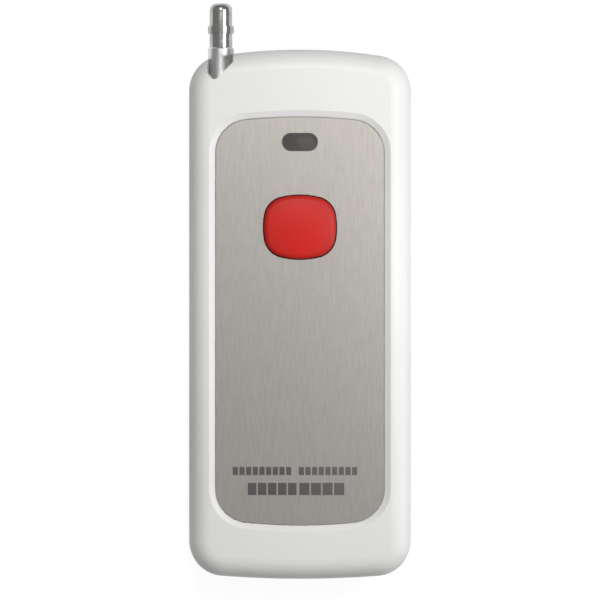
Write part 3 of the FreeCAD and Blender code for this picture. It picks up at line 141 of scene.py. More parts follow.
def moulded_plastic_group():
    """Moulded plastic: a faint cloudiness of colour, uneven gloss and a fine tooled grain, with
    dust in a seam at one height."""
    tree, given, out = effect_group(
        "moulded_plastic",
        {"Colour": (0.8, 0.8, 0.8), "Deep Colour": (0.7, 0.7, 0.7), "Roughness": 0.4,
         "Seam Height": -1.0},
    )
    cloud = textured(tree, "ShaderNodeTexNoise", CLOUDS, given["Vector"], Detail=1.0)
    grain = textured(tree, "ShaderNodeTexNoise", GRAIN, given["Vector"], Detail=2.0)
    speck = textured(tree, "ShaderNodeTexVoronoi", SPECKS, given["Vector"])
    share = remapped(tree, cloud.outputs[0], 0.35, 0.7)
    clean = mixed(tree, share, given["Colour"], given["Deep Colour"])
    from_seam = distance(tree, split(tree, given["Vector"])["Z"], given["Seam Height"])
    dust = remapped(tree, from_seam, SEAM_LINE, SEAM_SOFT, 0.45, 0.0)
    tree.links.new(mixed(tree, dust, clean, SEAM_DUST), out["Colour"])
    gloss = math_step(tree, "MULTIPLY", remapped(tree, cloud.outputs[0], 0.3, 0.7, 0.9, 1.12),
                      given["Roughness"])
    dulled = math_step(tree, "ADD", gloss, math_step(tree, "MULTIPLY", dust, 0.3))
    tree.links.new(dulled, out["Roughness"])
    pits = math_step(tree, "MULTIPLY", speck.outputs[0], 0.4)
    tree.links.new(math_step(tree, "ADD", grain.outputs[0], pits), out["Height"])
    return tree


MOULDED = moulded_plastic_group()


def start_material(name, **sockets):
    """A material with a Principled shader whose plain values are set on its own sockets.
    Gives back the material, its tree, its shader and the piece's own coordinates."""
    made = bpy.data.materials.new(name)
    made.use_nodes = True
    tree = made.node_tree
    shader = tree.nodes["Principled BSDF"]
    feed_named(tree, shader, sockets)
    place = tree.nodes.new("ShaderNodeTexCoord").outputs["Object"]
    return made, tree, shader, place


def use_group(tree, group, vector, **inputs):
    """Places an effect group in a material with its own values."""
    made = tree.nodes.new("ShaderNodeGroup")
    made.node_tree = group
    feed_named(tree, made, {"Vector": vector, **inputs})
    return made.outputs


def raise_surface(tree, shader, height, relief):
    """Raises a material's surface by a height, by so many metres where the height is 1."""
    made = tree.nodes.new("ShaderNodeBump")
    made.inputs["Distance"].default_value = relief
    tree.links.new(height, made.inputs["Height"])
    tree.links.new(made.outputs["Normal"], shader.inputs["Normal"])


def link_finish(tree, shader, colour, roughness, metallic=None):
    """Links what changes over a surface into its shader."""
    tree.links.new(colour, shader.inputs["Base Color"])
    tree.links.new(roughness, shader.inputs["Roughness"])
    if metallic is not None:
        tree.links.new(metallic, shader.inputs["Metallic"])


def skinned(name, group, relief, sockets, **inputs):
    """A material whose colour, gloss and relief all come from one effect group."""
    made, tree, shader, place = start_material(name, **sockets)
    skin = use_group(tree, group, place, **inputs)
    link_finish(tree, shader, skin["Colour"], skin["Roughness"])
    raise_surface(tree, shader, skin["Height"], relief)
    return made


def plastic(name, colour, deep, roughness, grain=2 * MICRON, seam=-1.0, **sockets):
    """A moulded plastic of one colour."""
    return skinned(name, MOULDED, grain, sockets, Colour=colour, Deep_Colour=deep,
                   Roughness=roughness, Seam_Height=seam)


def dress(material, *names):
    """Gives CAD nodes a finish through their own material slots."""
    for name in names:
        for slot in nodes[name].material_slots:
            slot.material = material


rear_white = plastic("rear_white_abs", (0.86, 0.86, 0.85), (0.83, 0.83, 0.815), 0.34,
                     seam=SEAM_HEIGHT)
dress(rear_white, "rear_cover")

# Battery door
# A sliding lid of the same white ABS from another tool, so it is a touch warmer and duller.
# Finger grooves near its head let a thumb push it off, and an arrow sunk into it shows which way.

ARROW_TIP = -29.0 * MM
ARROW_LENGTH = 5.0 * MM
ARROW_SPREAD = 0.8
ARROW_TOP, ARROW_SIDE = 0.5 * MM, 0.2 * MM
ARROW_DEPTH = 0.3 * MM
ARROW_SHADE = (0.45, 0.44, 0.42)


def beyond(tree, value, edge, soft):
    """A mask that rises to 1 past an edge, over a soft width."""
    return remapped(tree, value, edge, edge + soft)


def short_of(tree, value, edge, soft):
    """A mask that is 1 up to an edge and falls to 0 past it, over a soft width."""
    return remapped(tree, value, edge, edge + soft, 1.0, 0.0)


door_white, tree, shader, place = start_material("door_white_abs")
skin = use_group(tree, MOULDED, place, Colour=(0.85, 0.85, 0.83), Deep_Colour=(0.82, 0.815, 0.795),
                 Roughness=0.4)
across, along, up = split(tree, place)
from_tip = math_step(tree, "SUBTRACT", along, ARROW_TIP)
wide = math_step(tree, "MULTIPLY", from_tip, ARROW_SPREAD)
inside = math_step(tree, "SUBTRACT", wide, math_step(tree, "ABSOLUTE", across))
arrow = math_step(tree, "MULTIPLY", beyond(tree, inside, 0.0, ARROW_SIDE),
                  short_of(tree, from_tip, ARROW_LENGTH, ARROW_SIDE))
arrow = math_step(tree, "MULTIPLY", arrow, short_of(tree, up, ARROW_TOP, ARROW_TOP))
shaded = mixed(tree, math_step(tree, "MULTIPLY", arrow, 0.35), skin["Colour"], ARROW_SHADE)
link_finish(tree, shader, shaded, skin["Roughness"])
sunk = math_step(tree, "SUBTRACT", math_step(tree, "MULTIPLY", skin["Height"], 0.01), arrow)
raise_surface(tree, shader, sunk, ARROW_DEPTH)
dress(door_white, "battery_door")

# Front cover
# The upper half of the case, white ABS as the rear, but from a smoother tool, so its grain is
# finer and its gloss a little uneven where hands have rubbed it.

front_white = plastic("front_white_abs", (0.87, 0.87, 0.86), (0.845, 0.845, 0.83), 0.36,
                      grain=0.6 * MICRON, seam=SEAM_HEIGHT, Specular_IOR_Level=0.32)
dress(front_white, "front_cover")

# Case screws and board screws
# Self-tapping steel screws, zinc plated, cut and rolled in a machine so that fine marks run
# round them. Four draw the case together from the back, four hold the board to the front.


def stretched(tree, vector, x=1.0, y=1.0):
    """A vector with its first two coordinates multiplied."""
    made = tree.nodes.new("ShaderNodeMapping")
    made.inputs["Scale"].default_value = (x, y, 1.0)
    tree.links.new(vector, made.inputs["Vector"])
    return made.outputs[0]


def worked_metal_group(name, marks, squeeze, detail, patches, dull_from, dullest):
    """Worked metal: fine marks, squeezed or drawn out along Y, and patches where the plating is
    duller. Marks and patches are in cycles per metre."""
    tree, given, out = effect_group(
        name, {"Colour": (0.6, 0.6, 0.6), "Dull Colour": (0.5, 0.5, 0.5), "Roughness": 0.25}
    )
    along = stretched(tree, given["Vector"], y=squeeze)
    fine = textured(tree, "ShaderNodeTexNoise", marks, along, Detail=detail)
    patch = textured(tree, "ShaderNodeTexNoise", patches, given["Vector"], Detail=3.0).outputs[0]
    share = remapped(tree, patch, dull_from, 0.68)
    tree.links.new(mixed(tree, share, given["Colour"], given["Dull Colour"]), out["Colour"])
    gloss = math_step(tree, "MULTIPLY", remapped(tree, patch, 0.35, 0.7, 0.8, dullest),
                      given["Roughness"])
    tree.links.new(gloss, out["Roughness"])
    tree.links.new(fine.outputs[0], out["Height"])
    return tree


DRAWN = worked_metal_group("drawn_metal", marks=900.0, squeeze=18.0, detail=3.0, patches=320.0,
                           dull_from=0.42, dullest=1.35)


def metal(name, colour, dull, roughness):
    """A plated or bare metal."""
    return skinned(name, DRAWN, 2 * MICRON, {"Metallic": 1.0}, Colour=colour, Dull_Colour=dull,
                   Roughness=roughness)


zinc = metal("zinc_plate", (0.63, 0.64, 0.66), (0.5, 0.5, 0.51), 0.36)
dress(zinc, "case_screws", "board_screws")

# Front panel
# A thin plate of aluminium glued into the recess. It is lacquered a warm silver grey over a
# fine grain that runs along it, so it catches a lamp in a broad soft sheen.

PANEL_DARK = (0.41, 0.39, 0.365)
PANEL_LIGHT = (0.48, 0.455, 0.43)
PANEL_LINES, PANEL_FLAKES = 260.0, 9000.0  # cycles of the textures per metre
LINES_SQUEEZE = 30.0

panel_silver, tree, shader, place = start_material(
    "panel_silver", Metallic=0.72, Specular_IOR_Level=0.4
)
squeezed = stretched(tree, place, x=LINES_SQUEEZE)
lines = textured(tree, "ShaderNodeTexNoise", PANEL_LINES, squeezed, Detail=4.0)
flakes = textured(tree, "ShaderNodeTexVoronoi", PANEL_FLAKES, place)
grained = mixed(tree, remapped(tree, lines.outputs[0], 0.3, 0.7), PANEL_DARK, PANEL_LIGHT)
link_finish(tree, shader, grained, remapped(tree, flakes.outputs[0], 0.0, 0.6, 0.36, 0.42))
raise_surface(tree, shader, lines.outputs[0], 2 * MICRON)
dress(panel_silver, "front_panel")

# Printing on the panel
# Two rows of plain screen-printed bars near the panel's lower end. The ink lies on the
# lacquer as a film a few hundredths of a millimetre thick.

PRINT_ROWS = (
    # left end, right end, middle along Y, height, bar pitch, gap from and to, in millimetres
    (-15.16, 12.93, -34.95, 1.8, 1.5, (-1.78, -0.45)),
    (-11.8, 10.03, -38.96, 2.7, 2.4, (-0.6, -0.3)),
)
INK_FILM = 0.03 * MM
BAR_GAP = 0.34 * MM


def add_inputs(tree, inputs, output):
    """Named inputs with their first values, and one geometry output."""
    for name, (kind, value) in inputs.items():
        add_socket(tree, name, "NodeSocket" + kind, "INPUT", value)
    add_socket(tree, output, "NodeSocketGeometry", "OUTPUT")
    end = tree.nodes.new("NodeGroupOutput").inputs[output]
    return tree.nodes.new("NodeGroupInput").outputs, end


def chained(tree, kind, socket, source, **inputs):
    """A geometry node whose named input takes a link, with its other inputs linked or set."""
    made = tree.nodes.new(kind)
    feed_named(tree, made, {socket: source, **inputs})
    return made.outputs[0]


def vector_of(tree, x=0.0, y=0.0, z=0.0):
    """A vector made of links or plain numbers."""
    made = tree.nodes.new("ShaderNodeCombineXYZ")
    for socket, value in zip(made.inputs, (x, y, z)):
        feed(tree, value, socket)
    return made.outputs[0]


def finished(tree, geometry, material, output):
    """Ends a geometry tree: real geometry in one material."""
    real = chained(tree, "GeometryNodeRealizeInstances", "Geometry", geometry)
    coated = chained(tree, "GeometryNodeSetMaterial", "Geometry", real, Material=material)
    tree.links.new(coated, output)


def bar_tree():
    """Bars side by side along X, each as wide as its share of the row, with gaps between."""
    made = bpy.data.node_groups.new("printed_bars", "GeometryNodeTree")
    given, out = add_inputs(made, {
        "Length": ("Float", 0.02), "Height": ("Float", 0.002), "Film": ("Float", 0.00003),
        "Gap": ("Float", 0.0004), "Count": ("Int", 8), "Ink": ("Material", None),
    }, "Bars")
    pitch = math_step(made, "DIVIDE", given["Length"], given["Count"])
    width = math_step(made, "SUBTRACT", pitch, given["Gap"])
    line = chained(made, "GeometryNodeMeshLine", "Offset", vector_of(made, pitch),
                   Count=given["Count"])
    size = vector_of(made, width, given["Height"], given["Film"])
    bar = chained(made, "GeometryNodeMeshCube", "Size", size)
    bars = chained(made, "GeometryNodeInstanceOnPoints", "Points", line, Instance=bar)
    finished(made, bars, given["Ink"], out)
    return made


def grown(tree, name, points=(), **inputs):
    """The plain mesh that a geometry tree makes from points and its named inputs."""
    start = bpy.data.meshes.new(name + "_points")
    start.from_pydata([tuple(point) for point in points], [], [])
    seed = bpy.data.objects.new(name + "_seed", start)
    bpy.context.scene.collection.objects.link(seed)
    modifier = seed.modifiers.new("grow", "NODES")
    modifier.node_group = tree
    given = [item for item in tree.interface.items_tree if item.in_out == "INPUT"]
    keys = {item.name: item.identifier for item in given}
    for label, value in inputs.items():
        modifier[keys[label]] = value
    bpy.context.view_layer.update()
    evaluated = seed.evaluated_get(bpy.context.evaluated_depsgraph_get())
    mesh = bpy.data.meshes.new_from_object(evaluated)
    seed.modifiers.remove(modifier)
    bpy.data.objects.remove(seed)
    mesh.name = name
    return mesh


def joined(name, meshes, material):
    """Several meshes in one, in one material."""
    merged = bmesh.new()
    for mesh in meshes:
        merged.from_mesh(mesh)
    made = bpy.data.meshes.new(name)
    merged.to_mesh(made)
    merged.free()
    made.materials.append(material)
    for face in made.polygons:
        face.material_index = 0
    return made


def piece(name, mesh, body):
    """Links a finished mesh as a piece that rides on a body and takes its finish from a slot."""
    made = bpy.data.objects.new(name, mesh)
    bpy.context.scene.collection.objects.link(made)
    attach(made, body)
    return made


ink = plastic("panel_ink", (0.085, 0.08, 0.08), (0.12, 0.115, 0.112), 0.5, MICRON)
BARS = bar_tree()
panel_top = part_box("front_panel")[1].z
runs = []
for left, right, row_y, height, pitch, (gap_from, gap_to) in PRINT_ROWS:
    for start, end in ((left, gap_from), (gap_to, right)):
        count = round((end - start) / pitch)
        bars = grown(BARS, "bars", Length=(end - start) * MM, Height=height * MM,
                     Film=2 * INK_FILM, Gap=BAR_GAP, Count=count, Ink=ink)
        first = start + (end - start) / count / 2
        bars.transform(Matrix.Translation((first * MM, row_y * MM, panel_top)))
        runs.append(bars)
piece("panel_print", joined("panel_print", runs, ink), "case")

# Indicator window
# A smoked acrylic lens pressed in from behind. Dark from the front, it lets the lamp under it
# glow through.

SMOKE_DARK, SMOKE_PALE = (0.076, 0.069, 0.068), (0.108, 0.097, 0.096)
SMOKE_HAZE = 240.0  # cycles of the texture per metre

smoked, tree, shader, place = start_material(
    "smoked_acrylic", Specular_IOR_Level=0.5, Coat_Weight=0.2, Coat_Roughness=0.06
)
haze = textured(tree, "ShaderNodeTexNoise", SMOKE_HAZE, place, Detail=3.0)
tint = mixed(tree, remapped(tree, haze.outputs[0], 0.35, 0.7), SMOKE_DARK, SMOKE_PALE)
link_finish(tree, shader, tint, remapped(tree, haze.outputs[0], 0.3, 0.7, 0.12, 0.22))
dress(smoked, "led_window")

# Button cap
# One red moulded cap with a low dome. The thumb has polished its middle, while its rim keeps the
# duller finish of the tool. The rim is painted a darker red as painted shade on the dome's sloping
# sides, and a painted shadow darkens a thin line where the cap enters the panel.

PANEL_LINE = 20.3 * MM
CAP_X, CAP_Y = 0.0, 19.4 * MM
CAP_REACH = 8.1 * MM
FOOT_SHADOW_BAND = 0.5 * MM
# The rim's darker red is painted shade on the dome's sides; the foot's dark red is a painted
# shadow where the cap meets the panel.
RIM_SHADE_RED, FOOT_SHADOW_RED = (0.36, 0.02, 0.015), (0.12, 0.01, 0.01)


def distance_2d(tree, at, x, y):
    """How far a place is from a point, seen along Z."""
    off_x, off_y = math_step(tree, "SUBTRACT", at["X"], x), math_step(tree, "SUBTRACT", at["Y"], y)
    squares = math_step(tree, "ADD", math_step(tree, "MULTIPLY", off_x, off_x),
                        math_step(tree, "MULTIPLY", off_y, off_y))
    return math_step(tree, "SQRT", squares)


button_red, tree, shader, place = start_material(
    "button_red", Specular_IOR_Level=0.27, Subsurface_Weight=0.04, Subsurface_Scale=0.8 * MM,
)
skin = use_group(tree, MOULDED, place, Colour=(0.7, 0.018, 0.013), Deep_Colour=(0.6, 0.014, 0.01),
                 Roughness=0.34)
at = split(tree, place)
from_middle = distance_2d(tree, at, CAP_X, CAP_Y)
# Darker red towards the rim: painted shade on the dome's sloping sides. The same mask also dulls
# the gloss there.
rim_shade_and_dulling = remapped(tree, from_middle, CAP_REACH * 0.55, CAP_REACH * 1.1)
# A dark red band at the cap's foot: a painted shadow where the cap enters the panel.
foot_shadow = short_of(tree, at["Z"], PANEL_LINE, FOOT_SHADOW_BAND)
shaded_red = mixed(tree, math_step(tree, "MULTIPLY", rim_shade_and_dulling, 0.4), skin["Colour"], RIM_SHADE_RED)
shaded_red = mixed(tree, math_step(tree, "MULTIPLY", foot_shadow, 0.6), shaded_red, FOOT_SHADOW_RED)
dulled = math_step(tree, "ADD", skin["Roughness"], math_step(tree, "MULTIPLY", rim_shade_and_dulling, 0.12))
link_finish(tree, shader, shaded_red, dulled)
raise_surface(tree, shader, skin["Height"], 2 * MICRON)
dress(button_red, "button_cap")

# Push switch
# A small tactile switch soldered under the button: a black body with four tinned legs, a
# bright cover plate held by four melted-over pins, and a black plunger in its middle.

LEG_INNER_X = 3.0 * MM
PIN_INSET = 0.75 * MM
RELIEF = 0.15 * MM
TIN_BRIGHT, TIN_DULL = (0.66, 0.66, 0.65), (0.52, 0.52, 0.51)


def part_with_tin(name, colour, deep, roughness, find_tin, dimple=None):
    """A plastic or ceramic part whose ends or legs are tinned, found by a mask."""
    made, tree, shader, place = start_material(name)
    skin = use_group(tree, MOULDED, place, Colour=colour, Deep_Colour=deep, Roughness=roughness)
    tin = use_group(tree, DRAWN, place, Colour=TIN_BRIGHT, Dull_Colour=TIN_DULL, Roughness=0.32)
    at = split(tree, place)
    mask = find_tin(tree, at)
    plain = math_step(tree, "SUBTRACT", 1.0, mask)
    gloss = math_step(tree, "ADD", math_step(tree, "MULTIPLY", plain, skin["Roughness"]),
                      math_step(tree, "MULTIPLY", mask, tin["Roughness"]))
    link_finish(tree, shader, mixed(tree, mask, skin["Colour"], tin["Colour"]), gloss, mask)
    height = math_step(tree, "MULTIPLY", skin["Height"], 0.02)
    if dimple is not None:
        height = math_step(tree, "SUBTRACT", height, dimple(tree, at))
    raise_surface(tree, shader, height, RELIEF)
    return made


def beyond_x(half, soft, middle=0.0):
    """A finder of ends or legs: what lies farther than a half width from a middle in X."""
    return lambda tree, at: beyond(tree, distance(tree, at["X"], middle), half, soft)


dress(part_with_tin("switch_body", (0.03, 0.03, 0.032), (0.02, 0.02, 0.021), 0.5,
                    beyond_x(LEG_INNER_X, 0.02 * MM)), "switch_body")
dress(plastic("plunger_black", (0.035, 0.035, 0.037), (0.024, 0.024, 0.025), 0.42),
      "switch_plunger")
cover_steel = metal("switch_cover_steel", (0.66, 0.66, 0.66), (0.58, 0.58, 0.575), 0.3)
dress(cover_steel, "switch_cover")


def stud_tree():
    """A tapered round or square stud on every point, its base on the point."""
    made = bpy.data.node_groups.new("studs", "GeometryNodeTree")
    add_socket(made, "Points", "NodeSocketGeometry", "INPUT")
    given, out = add_inputs(made, {
        "Base": ("Float", 0.0007), "Head": ("Float", 0.0003), "Rise": ("Float", 0.0005),
        "Sides": ("Int", 14), "Turn": ("Float", 0.0), "Skin": ("Material", None),
    }, "Studs")
    stud = chained(made, "GeometryNodeMeshCone", "Vertices", given["Sides"],
                   Radius_Top=given["Head"], Radius_Bottom=given["Base"], Depth=given["Rise"])
    turned = vector_of(made, z=given["Turn"])
    studs = chained(made, "GeometryNodeInstanceOnPoints", "Points", given["Points"], Instance=stud,
                    Rotation=turned)
    finished(made, studs, given["Skin"], out)
    return made


STUDS = stud_tree()

low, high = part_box("switch_cover")
pins = [
    (x, y, high.z)
    for x in (low.x + PIN_INSET, high.x - PIN_INSET)
    for y in (low.y + PIN_INSET, high.y - PIN_INSET)
]
pin_plastic = plastic("switch_pins", (0.04, 0.04, 0.042), (0.028, 0.028, 0.03), 0.38)
pin_mesh = grown(STUDS, "switch_pins", pins, Base=0.42 * MM, Head=0.28 * MM, Rise=0.16 * MM,
                 Skin=pin_plastic)
piece("switch_pins", joined("switch_pins", [pin_mesh], pin_plastic), "case")

# Circuit board
# A board of glass cloth and epoxy, 1.6 mm thick, under green solder mask. Copper tracks show
# as slightly raised, lighter lines, and the sawn edges show the tan of the bare laminate.

MASK_GREEN, TRACK_GREEN = (0.018, 0.13, 0.05), (0.035, 0.24, 0.085)
BARE_LAMINATE = (0.42, 0.36, 0.2)
TRACKS, COPPER_FIELDS = 190.0, 95.0  # cycles of the textures per metre
COPPER_THICKNESS = 0.03 * MM
EDGE_SKIN, EDGE_SOFT = 0.05 * MM, 0.03 * MM

low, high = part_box("circuit_board")
board_under, board_top = low.z, high.z

board_green, tree, shader, place = start_material(
    "board_green", Coat_Weight=0.3, Coat_Roughness=0.1
)
tracks = textured(tree, "ShaderNodeTexBrick", TRACKS, place, Mortar_Size=0.055,
                  Mortar_Smooth=0.15, Brick_Width=1.1, Row_Height=0.42)
fields = textured(tree, "ShaderNodeTexNoise", COPPER_FIELDS, place, Detail=1.0)
copper = math_step(tree, "MAXIMUM", tracks.outputs["Fac"],
                   remapped(tree, fields.outputs[0], 0.56, 0.58))
at = split(tree, place)
side_edge = beyond(tree, math_step(tree, "ABSOLUTE", at["X"]), high.x - EDGE_SKIN, EDGE_SOFT)
end_edge = beyond(tree, at["Y"], high.y - EDGE_SKIN, EDGE_SOFT)
foot_edge = short_of(tree, at["Y"], low.y + EDGE_SKIN - EDGE_SOFT, EDGE_SOFT)
sawn = math_step(tree, "MAXIMUM", side_edge, math_step(tree, "MAXIMUM", end_edge, foot_edge))
faces = mixed(tree, copper, MASK_GREEN, TRACK_GREEN)
link_finish(tree, shader, mixed(tree, sawn, faces, BARE_LAMINATE),
            remapped(tree, copper, 0.0, 1.0, 0.4, 0.3))
raise_surface(tree, shader, copper, COPPER_THICKNESS)
dress(board_green, "circuit_board")

# Solder joints
# Bright tin-lead solder: a small cone round every lead that comes through the board, and a
# flat fillet at each end of the chip's pins and of the small parts on its front.

CHIP_PIN_PITCH = 1.27 * MM
CHIP_PINS = 8
CHIP_PART_PITCH = 3.2 * MM
CHIP_PART_HALF_WIDTH = 0.625 * MM
LEG_FROM_SIDE, LEG_FROM_END = 0.15 * MM, 0.75 * MM
LEADS = {  # each lead's place from the middle of its part, along X and Y, in millimetres
    "electrolytic_capacitor": ((-1.0, 0.0), (1.0, 0.0)),
    "trimmer_capacitor": ((-2.0, 0.0), (2.0, 0.0)),
    "saw_resonator": ((-2.5, 0.0), (2.5, 0.0), (0.0, -2.5)),
    "output_transistor": ((-1.27, 0.5), (0.0, 0.5), (1.27, 0.5)),
    "tank_coil": ((-2.4, 0.0), (2.0, 0.0)),
}

solder = metal("solder", (0.7, 0.7, 0.69), (0.54, 0.54, 0.53), 0.26)


def middle_of(node):
    """The middle of a node's box."""
    low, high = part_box(node)
    return (low + high) / 2


def solder_studs(name, points, base, head, rise, **shape):
    """Solder on every point, its widths and its height in millimetres."""
    return grown(STUDS, name, points, Base=base * MM, Head=head * MM, Rise=rise * MM,
                 Skin=solder, **shape)


leads = []
for node, offsets in LEADS.items():
    at = middle_of(node)
    leads += [(at.x + x * MM, at.y + y * MM, board_top) for x, y in offsets]
joints = [solder_studs("lead_joints", leads, 0.85, 0.3, 0.6)]

tails = [(0.0, middle_of(node).y, board_top) for node in ("positive_contact", "negative_contact")]
joints.append(solder_studs("tail_joints", tails, 1.8, 1.1, 0.5))

low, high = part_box("switch_body")
legs = [
    (x, y, 0.0)
    for x in (low.x + LEG_FROM_SIDE, high.x - LEG_FROM_SIDE)
    for y in (low.y + LEG_FROM_END, high.y - LEG_FROM_END)
]
leg_joints = solder_studs("leg_joints", legs, 0.7, 0.3, 0.6)
hanging = Matrix.Scale(-1, 4, (0, 0, 1))
leg_joints.transform(Matrix.Translation((0, 0, board_under)) @ hanging)
leg_joints.flip_normals()
joints.append(leg_joints)

low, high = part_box("encoder_chip")
chip_middle = (low + high) / 2
pads = [
    (x, chip_middle.y + (i - (CHIP_PINS - 1) / 2) * CHIP_PIN_PITCH, board_top)
    for x in (low.x, high.x)
    for i in range(CHIP_PINS)
]
joints.append(solder_studs("pin_fillets", pads, 0.52, 0.3, 0.16, Sides=4, Turn=math.pi / 4))
ends = []
for node, count in (("chip_resistors", 6), ("chip_capacitors", 4)):
    low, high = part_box(node)
    first = low.y + CHIP_PART_HALF_WIDTH
    ends += [
        (x, first + i * CHIP_PART_PITCH, board_top) for x in (low.x, high.x) for i in range(count)
    ]
joints.append(solder_studs("end_fillets", ends, 0.8, 0.45, 0.3, Sides=4, Turn=math.pi / 4))
piece("solder_joints", joined("solder_joints", joints, solder), "case")

# Outlines on the board
# Thin white frames, screen printed round the places of the parts to guide the hand that
# fits them.

OUTLINE_ROOM = 0.9 * MM
OUTLINE_CORNER = 0.5 * MM
OUTLINE_WIDTH = 0.2 * MM
OUTLINE_FILM = 0.02 * MM
CORNER_STEPS = 4


def outline_tree():
    """A rounded rectangular frame of flat line, centred on the origin."""
    made = bpy.data.node_groups.new("part_outline", "GeometryNodeTree")
    given, out = add_inputs(made, {
        "Across": ("Float", 0.01), "Along": ("Float", 0.01), "Corner": ("Float", 0.0005),
        "Line": ("Float", 0.0002), "Film": ("Float", 0.00002), "Ink": ("Material", None),
    }, "Frame")
    loop = chained(made, "GeometryNodeCurvePrimitiveQuadrilateral", "Width", given["Across"],
                   Height=given["Along"])
    eased = made.nodes.new("GeometryNodeFilletCurve")
    eased.mode = "POLY"
    made.links.new(loop, eased.inputs["Curve"])
    made.links.new(given["Corner"], eased.inputs["Radius"])
    eased.inputs["Count"].default_value = CORNER_STEPS
    section = chained(made, "GeometryNodeCurvePrimitiveQuadrilateral", "Width", given["Film"],
                      Height=given["Line"])
    line = chained(made, "GeometryNodeCurveToMesh", "Curve", eased.outputs[0],
                   Profile_Curve=section)
    finished(made, line, given["Ink"], out)
    return made


OUTLINE = outline_tree()
legend_ink = plastic("legend_ink", (0.78, 0.78, 0.74), (0.7, 0.7, 0.66), 0.55, MICRON)
frames = []
for node in ("encoder_chip", "chip_resistors", "chip_capacitors", "status_lamp", "switch_body"):
    low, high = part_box(node)
    room = 2 * OUTLINE_ROOM
    drawn = grown(OUTLINE, "outline", Across=high.x - low.x + room, Along=high.y - low.y + room,
                  Corner=OUTLINE_CORNER, Line=OUTLINE_WIDTH, Film=OUTLINE_FILM, Ink=legend_ink)
    drawn.transform(Matrix.Translation(((low.x + high.x) / 2, (low.y + high.y) / 2, board_top)))
    frames.append(drawn)
piece("board_outlines", joined("board_outlines", frames, legend_ink), "case")

# Status lamp
# A tiny light-emitting diode soldered flat on the board under the window: a pale ceramic base
# with tinned ends, and a clear lens that is faintly red.

LAMP_END = 1.2 * MM

dress(part_with_tin("lamp_lens", (0.8, 0.62, 0.56), (0.74, 0.54, 0.5), 0.16,
                    beyond_x(LAMP_END, 0.04 * MM)), "status_lamp")

# Encoder chip
# A black epoxy body with eight tinned pins a side, and a shallow round dimple in the epoxy
# that marks the end to count the pins from.

CHIP_HALF = 2.0 * MM
DIMPLE_AT = (chip_middle.x - 1.2 * MM, chip_middle.y + 4.1 * MM)
DIMPLE_RADIUS = 0.45 * MM


def round_spot(tree, at, x, y, radius, soft=0.05 * MM):
    """A mask that is 1 inside a circle seen along Z."""
    return short_of(tree, distance_2d(tree, at, x, y), radius, soft)


def chip_dimple(tree, at):
    """The dimple's round mask."""
    return round_spot(tree, at, *DIMPLE_AT, DIMPLE_RADIUS, 0.1 * MM)


dress(part_with_tin("chip_epoxy", (0.035, 0.035, 0.037), (0.026, 0.026, 0.027), 0.55,
                    beyond_x(CHIP_HALF, 0.03 * MM, chip_middle.x), chip_dimple), "encoder_chip")

# Resonator
# A low round can of nickel-plated steel, welded to its rim, that sets the radio frequency.
# Its lid keeps fine rings from the press.

LID_RINGS = 900.0  # cycles of the texture per metre

can_at = middle_of("saw_resonator")
can_nickel, tree, shader, place = start_material("resonator_can", Metallic=1.0)
centred = tree.nodes.new("ShaderNodeMapping")
centred.inputs["Location"].default_value = (-can_at.x, -can_at.y, 0.0)
tree.links.new(place, centred.inputs["Vector"])
rings = tree.nodes.new("ShaderNodeTexWave")
rings.wave_type = "RINGS"
rings.rings_direction = "Z"
feed_named(tree, rings, {"Vector": centred.outputs[0], "Scale": LID_RINGS, "Distortion": 1.5})
skin = use_group(tree, DRAWN, place, Colour=(0.68, 0.66, 0.62), Dull_Colour=(0.56, 0.54, 0.5),
                 Roughness=0.24)
link_finish(tree, shader, skin["Colour"], skin["Roughness"])
raise_surface(tree, shader, rings.outputs["Fac"], 3 * MICRON)
dress(can_nickel, "saw_resonator")

# Electrolytic capacitor
# An aluminium can in a dark blue shrink sleeve with a pale stripe down the side of its
# negative lead. The bare end of the can is scored with a cross.

STRIPE, STRIPE_HALF_WIDTH = (0.6, 0.6, 0.58), 0.9 * MM
BARE_END_RADIUS = 2.1 * MM
SCORE_HALF_WIDTH, SCORE_DEPTH = 0.08 * MM, 0.1 * MM


def near(tree, value, centre, half_width, soft):
    """A mask that is 1 within a distance of a centre."""
    return short_of(tree, distance(tree, value, centre), half_width, soft)


can_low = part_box("electrolytic_capacitor")[0]
can_mid = middle_of("electrolytic_capacitor")
sleeve, tree, shader, place = start_material("capacitor_sleeve")
at = split(tree, place)
skin = use_group(tree, MOULDED, place, Colour=(0.03, 0.04, 0.1), Deep_Colour=(0.022, 0.03, 0.075),
                 Roughness=0.28)
aluminium = use_group(tree, DRAWN, place, Colour=(0.74, 0.74, 0.75),
                      Dull_Colour=(0.62, 0.62, 0.63), Roughness=0.3)
stripe = math_step(tree, "MULTIPLY", near(tree, at["Y"], can_mid.y, STRIPE_HALF_WIDTH, 0.05 * MM),
                   beyond(tree, at["X"], can_mid.x, 0.1 * MM))
bare_end = math_step(tree, "MULTIPLY", short_of(tree, at["Z"], can_low.z + 0.02 * MM, 0.02 * MM),
                     round_spot(tree, at, can_mid.x, can_mid.y, BARE_END_RADIUS))
wrapped = mixed(tree, stripe, skin["Colour"], STRIPE)
link_finish(tree, shader, mixed(tree, bare_end, wrapped, aluminium["Colour"]), skin["Roughness"],
            bare_end)
scores = [near(tree, at[axis], middle, SCORE_HALF_WIDTH, SCORE_HALF_WIDTH)
          for axis, middle in (("X", can_mid.x), ("Y", can_mid.y))]
cross = math_step(tree, "MULTIPLY", math_step(tree, "MAXIMUM", *scores), bare_end)
raise_surface(tree, shader, math_step(tree, "MULTIPLY", cross, -1.0), SCORE_DEPTH)
dress(sleeve, "electrolytic_capacitor")

# Trimmer capacitor
# An amber plastic body with a slotted brass rotor that is turned once, at the works, to tune
# the radio.

ROTOR_RADIUS, ROTOR_HEIGHT = 2.1 * MM, 0.6 * MM

trimmer_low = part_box("trimmer_capacitor")[0]
trimmer_mid = middle_of("trimmer_capacitor")


